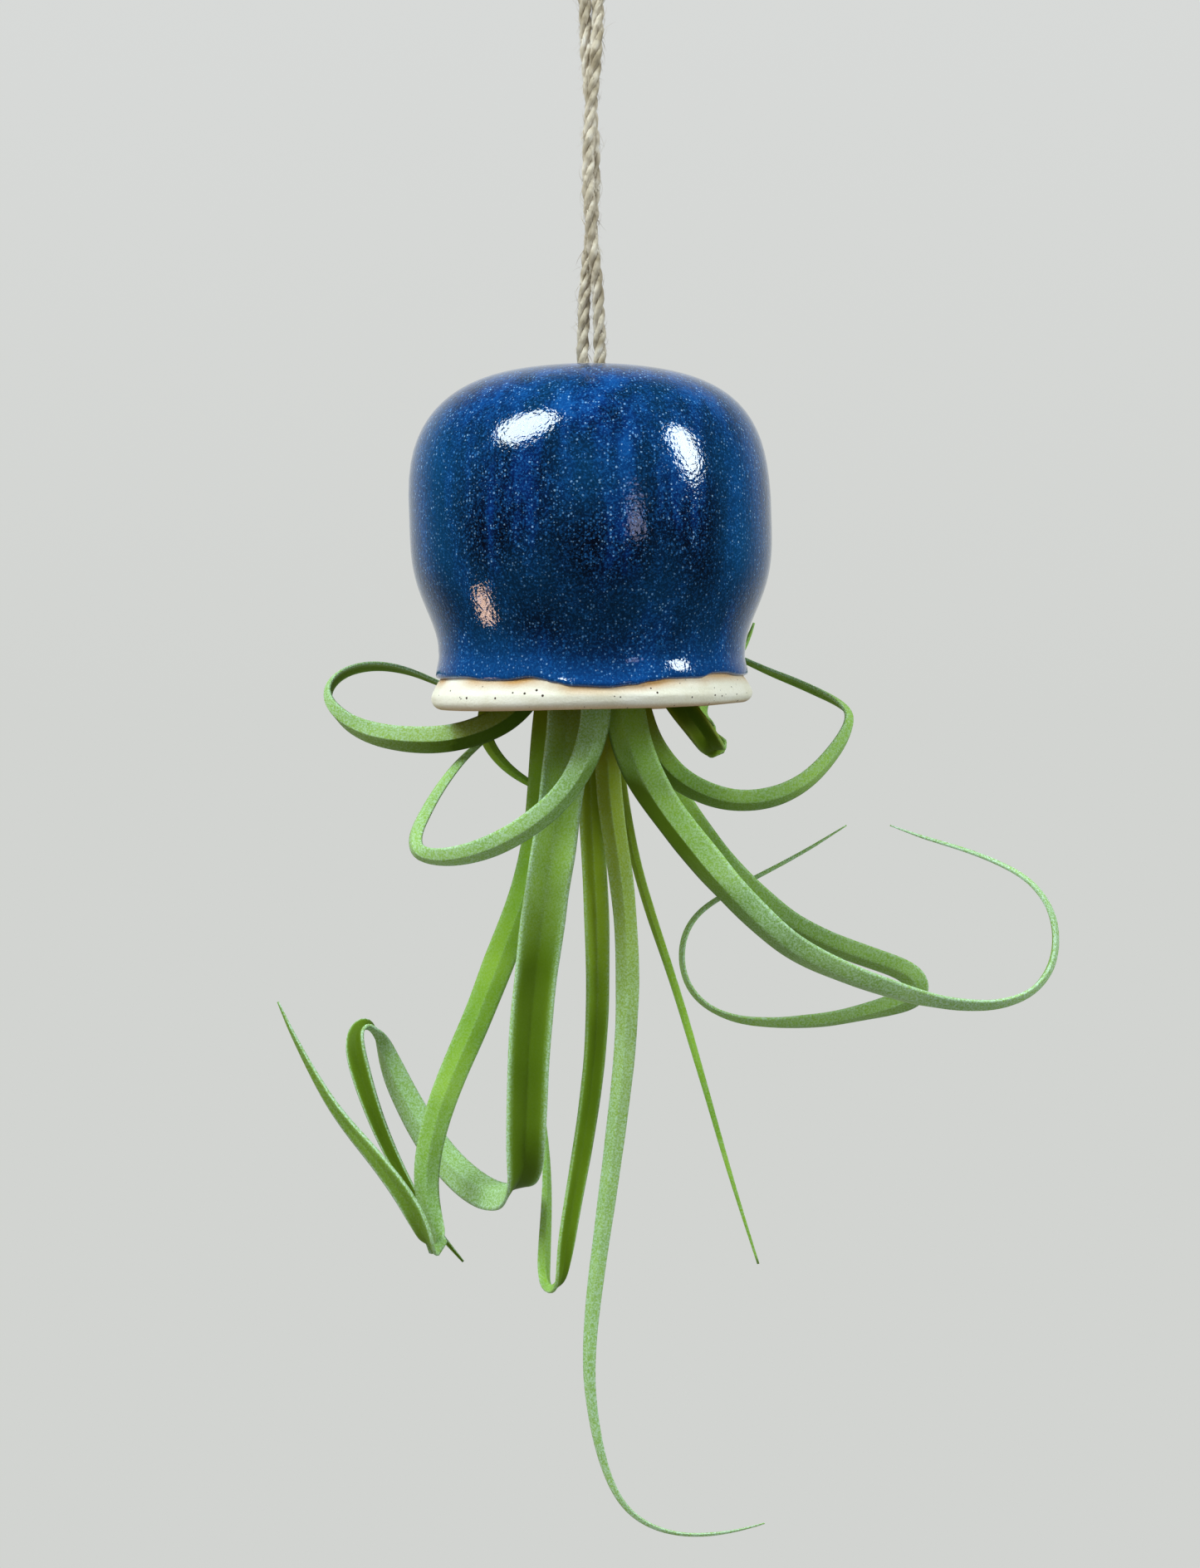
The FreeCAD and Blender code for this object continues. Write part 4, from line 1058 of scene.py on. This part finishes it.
def leaf_rows(guide, width, taper, seed):
    """Along a leaf: its place, its side and face directions, width, thickness and length."""
    places = leaf_line(guide)
    lengths = [0.0]
    for (here, _), (there, _) in zip(places, places[1:]):
        lengths.append(lengths[-1] + (there - here).length)
    rows = []
    for number, ((spot, turn), length) in enumerate(zip(places, lengths)):
        ahead = places[min(number + 1, len(places) - 1)][0]
        behind = places[max(number - 1, 0)][0]
        way = (ahead - behind).normalized()
        left = Vector((0, -1, 0)).cross(way).normalized()
        front = way.cross(left).normalized()
        angle = math.radians(turn)
        face = left * math.cos(angle) + front * math.sin(angle)
        wide = TIP_WIDTH + (width - TIP_WIDTH) * (1 - (length / lengths[-1]) ** taper)
        wide *= 1 + WIDTH_WAVER * noise.noise(Vector((length / WIDTH_WAVER_LENGTH, seed, 0)))
        fullness = min(1, wide / LEAF_FULL_WIDTH)
        thick = LEAF_KEEL * (LEAF_THIN_SHARE + (1 - LEAF_THIN_SHARE) * fullness)
        thick *= min(1, 3 * wide / LEAF_FULL_WIDTH)
        rows.append((spot, way.cross(face), face, wide, thick, length))
    return rows


def coat_leaf(vert, layers, looks, share, across, inner):
    """Give a leaf's place its felt, tones and painted shade by where along and across it lies.
    """
    root_felt, middle_felt, tip_felt, olive_share, channel_shade, channel_shade_from, underside_shade = looks
    felt_layer, olive_and_shade_layer, shade_layer, shade_below_layer = layers
    if share < MIDDLE_SHARE:
        felt = root_felt + (middle_felt - root_felt) * (share / MIDDLE_SHARE) ** 2
    else:
        beyond = (share - MIDDLE_SHARE) / (1 - MIDDLE_SHARE)
        felt = middle_felt + (tip_felt - middle_felt) * beyond ** 2
    margin = abs(across) ** 5
    keel = max(0, 1 - abs(across) / KEEL_REACH) * KEEL_FELT
    felt *= 1 - CHANNEL_BARE * inner * (1 - margin)
    vert[felt_layer] = min(1, felt + MARGIN_FELT * margin + keel)
    vert[olive_and_shade_layer] = max(0, 1 - share / olive_share) * 0.9 + 0.12 * inner
    # Painted shade in the channel, from a share of the length on.
    channel_shade_level = channel_shade * inner * (1 - margin) * 0.7 * min(1, max(0, (share - channel_shade_from) * 12))
    vert[shade_layer] = min(1, channel_shade_level)
    # Strength of the painted shade on the underside, fading toward the tip.
    vert[shade_below_layer] = underside_shade * max(0, 1.22 - 2.2 * share)


def shade_leaf(bm, layers):
    """Paint shade: darken the leaf and take off felt on its underside, channel and under the
    rim.
    """
    felt_layer, olive_and_shade_layer, shade_layer, shade_below_layer = layers
    for vert in bm.verts:
        # Painted shade on the underside near the root: darker and without felt.
        facing_down = min(1, max(0, -vert.normal.z * 5.0 - 0.5))
        below = min(1, vert[shade_below_layer] * facing_down)
        # Painted shade of the bell on the roots under its rim, less on leaves in front.
        near_axis = Vector((vert.co.x, vert.co.y)).length < MOUTH_RADIUS
        bell_shade = near_axis * min(1, max(0, (vert.co.z - RIM_Z) / BELL_SHADE_DEPTH + 1))
        bell_shade *= 1 - 0.8 * min(1, max(0, -vert.co.y / LIT_FROM))
        # Felt comes off where the channel's shade is painted.
        shade_felt_loss = min(1, 1.35 * vert[shade_layer])
        vert[felt_layer] *= (1 - 0.97 * below) * (1 - 0.95 * shade_felt_loss) * (1 - bell_shade)
        vert[olive_and_shade_layer] = min(1, vert[olive_and_shade_layer] + 0.80 * bell_shade)
        vert[shade_layer] = min(1, vert[shade_layer] + 0.85 * below + 0.40 * bell_shade)


def grow_leaf(guide, width, taper, cup, looks, seed):
    """A leaf as one closed sheet wrapped round its channelled section."""
    rows = leaf_rows(guide, width, taper, seed)
    # Round the section: shares of half the width, closer by the keel, and 0 on the back or 1
    # in the channel.
    evenly = [step / SECTION_STEPS * 2 - 1 for step in range(SECTION_STEPS + 1)]
    backs = [math.copysign(abs(across) ** 1.5, across) for across in evenly]
    ring = [(across, 0) for across in backs] + [(across, 1) for across in reversed(backs)]
    around = len(ring)

    def place_at(column, row):
        across, inner = ring[column % around]
        spot, side, face, wide, thick, length = rows[row]
        wave = noise.noise(Vector((length / FACE_WAVER_LENGTH, across * 0.7 + seed * 3, 1)))
        rise = wide * cup * abs(across) ** 1.2 + wave * FACE_WAVER * wide
        body = thick * (1 - (1 - LEAF_EDGE_SHARE) * across ** 2) * inner
        reach = wide / 2 * across - math.copysign(thick * 0.35 * inner * across ** 4, across)
        return spot + side * reach + face * (rise + body)

    def uv_at(column, row):
        across, inner = ring[column % around]
        return (across / 2 + 2 * inner) * width / MM, rows[row][-1] / MM

    bm = bmesh.new()
    for coat in LEAF_COATS:
        bm.verts.layers.float.new(coat)
    layers = [bm.verts.layers.float[coat] for coat in LEAF_COATS]
    verts = bent_sheet(bm, around, len(rows) - 1, place_at, uv_at)
    for number, vert in enumerate(verts):
        row, column = divmod(number, around + 1)
        coat_leaf(vert, layers, looks, rows[row][-1] / rows[-1][-1], *ring[column % around])
    bmesh.ops.remove_doubles(bm, verts=verts, dist=0.002 * MM)
    bmesh.ops.holes_fill(bm, edges=[edge for edge in bm.edges if edge.is_boundary], sides=0)
    bmesh.ops.recalc_face_normals(bm, faces=bm.faces)
    bm.normal_update()
    shade_leaf(bm, layers)
    return bm


for seed, (node, (width, taper, cup, rows)) in enumerate(LEAF_PIXELS.items()):
    guide = [(leaf_spot(*row[:3]), row[3]) for row in rows]
    bm = grow_leaf(guide, width * PIXEL, taper, cup, LEAF_LOOKS[node], seed)
    leaf = finish(node.replace("leaf_", "") + "_leaf", bm, leaf_skin)
    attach(leaf, "plant")
    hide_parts(node)

# The three short leaves that hold the plant in, clear of the wall by a hair.
SEAT_CLEARANCE = 0.3 * MM
NECK_LEAF_WIDTH = 8 * MM
NECK_LEAF_TAPER = 2.4
NECK_LEAF_CUP = 0.18
NECK_LEAF_FACE = 180  # the turn of its face, outwards
NECK_LEAF_SEED = 20
# How far each is turned round the axis from the right, in degrees.
NECK_LEAVES = {"neck_leaf_right": -32, "neck_leaf_back": 98, "neck_leaf_left": 214}
# Their line: shares of the way out from the base to the wall beside them, and of the way up
# from the rim to the base's middle.
NECK_LEAF_SHARES = [
    (-0.17, 0.93), (0.12, 0.97), (0.42, 0.94), (0.74, 0.78),
    (0.99, 0.54), (0.98, 0.32), (0.86, 0.12),
]
inner_wall = inside + throat[::-1]


def wall_beside(height):
    """The inner radius of the bell's flank at a height above the rim."""
    flank = [spot for spot in inner_wall if spot.x >= MOUTH_RADIUS / 2]
    return min(flank, key=lambda spot: abs(spot.y - height)).x


for seed, (node, turn) in enumerate(NECK_LEAVES.items()):
    guide = []
    for out, up in NECK_LEAF_SHARES:
        height = (BASE_RISE + BASE_HEIGHT / 2) * up
        room_out = wall_beside(height) - SEAT_CLEARANCE - BASE_RADIUS
        place = Vector((BASE_RADIUS + room_out * out, 0, RIM_Z + height))
        guide.append((place, NECK_LEAF_FACE))
    bm = grow_leaf(guide, NECK_LEAF_WIDTH, NECK_LEAF_TAPER, NECK_LEAF_CUP,
                   LEAF_LOOKS["neck_leaf"], seed + NECK_LEAF_SEED)
    bmesh.ops.rotate(bm, verts=bm.verts, cent=(0, 0, 0),
                     matrix=Matrix.Rotation(math.radians(turn), 3, "Z"))
    leaf = finish(node.replace("neck_leaf", "neck") + "_leaf", bm, leaf_skin)
    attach(leaf, "plant")
    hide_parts(node)
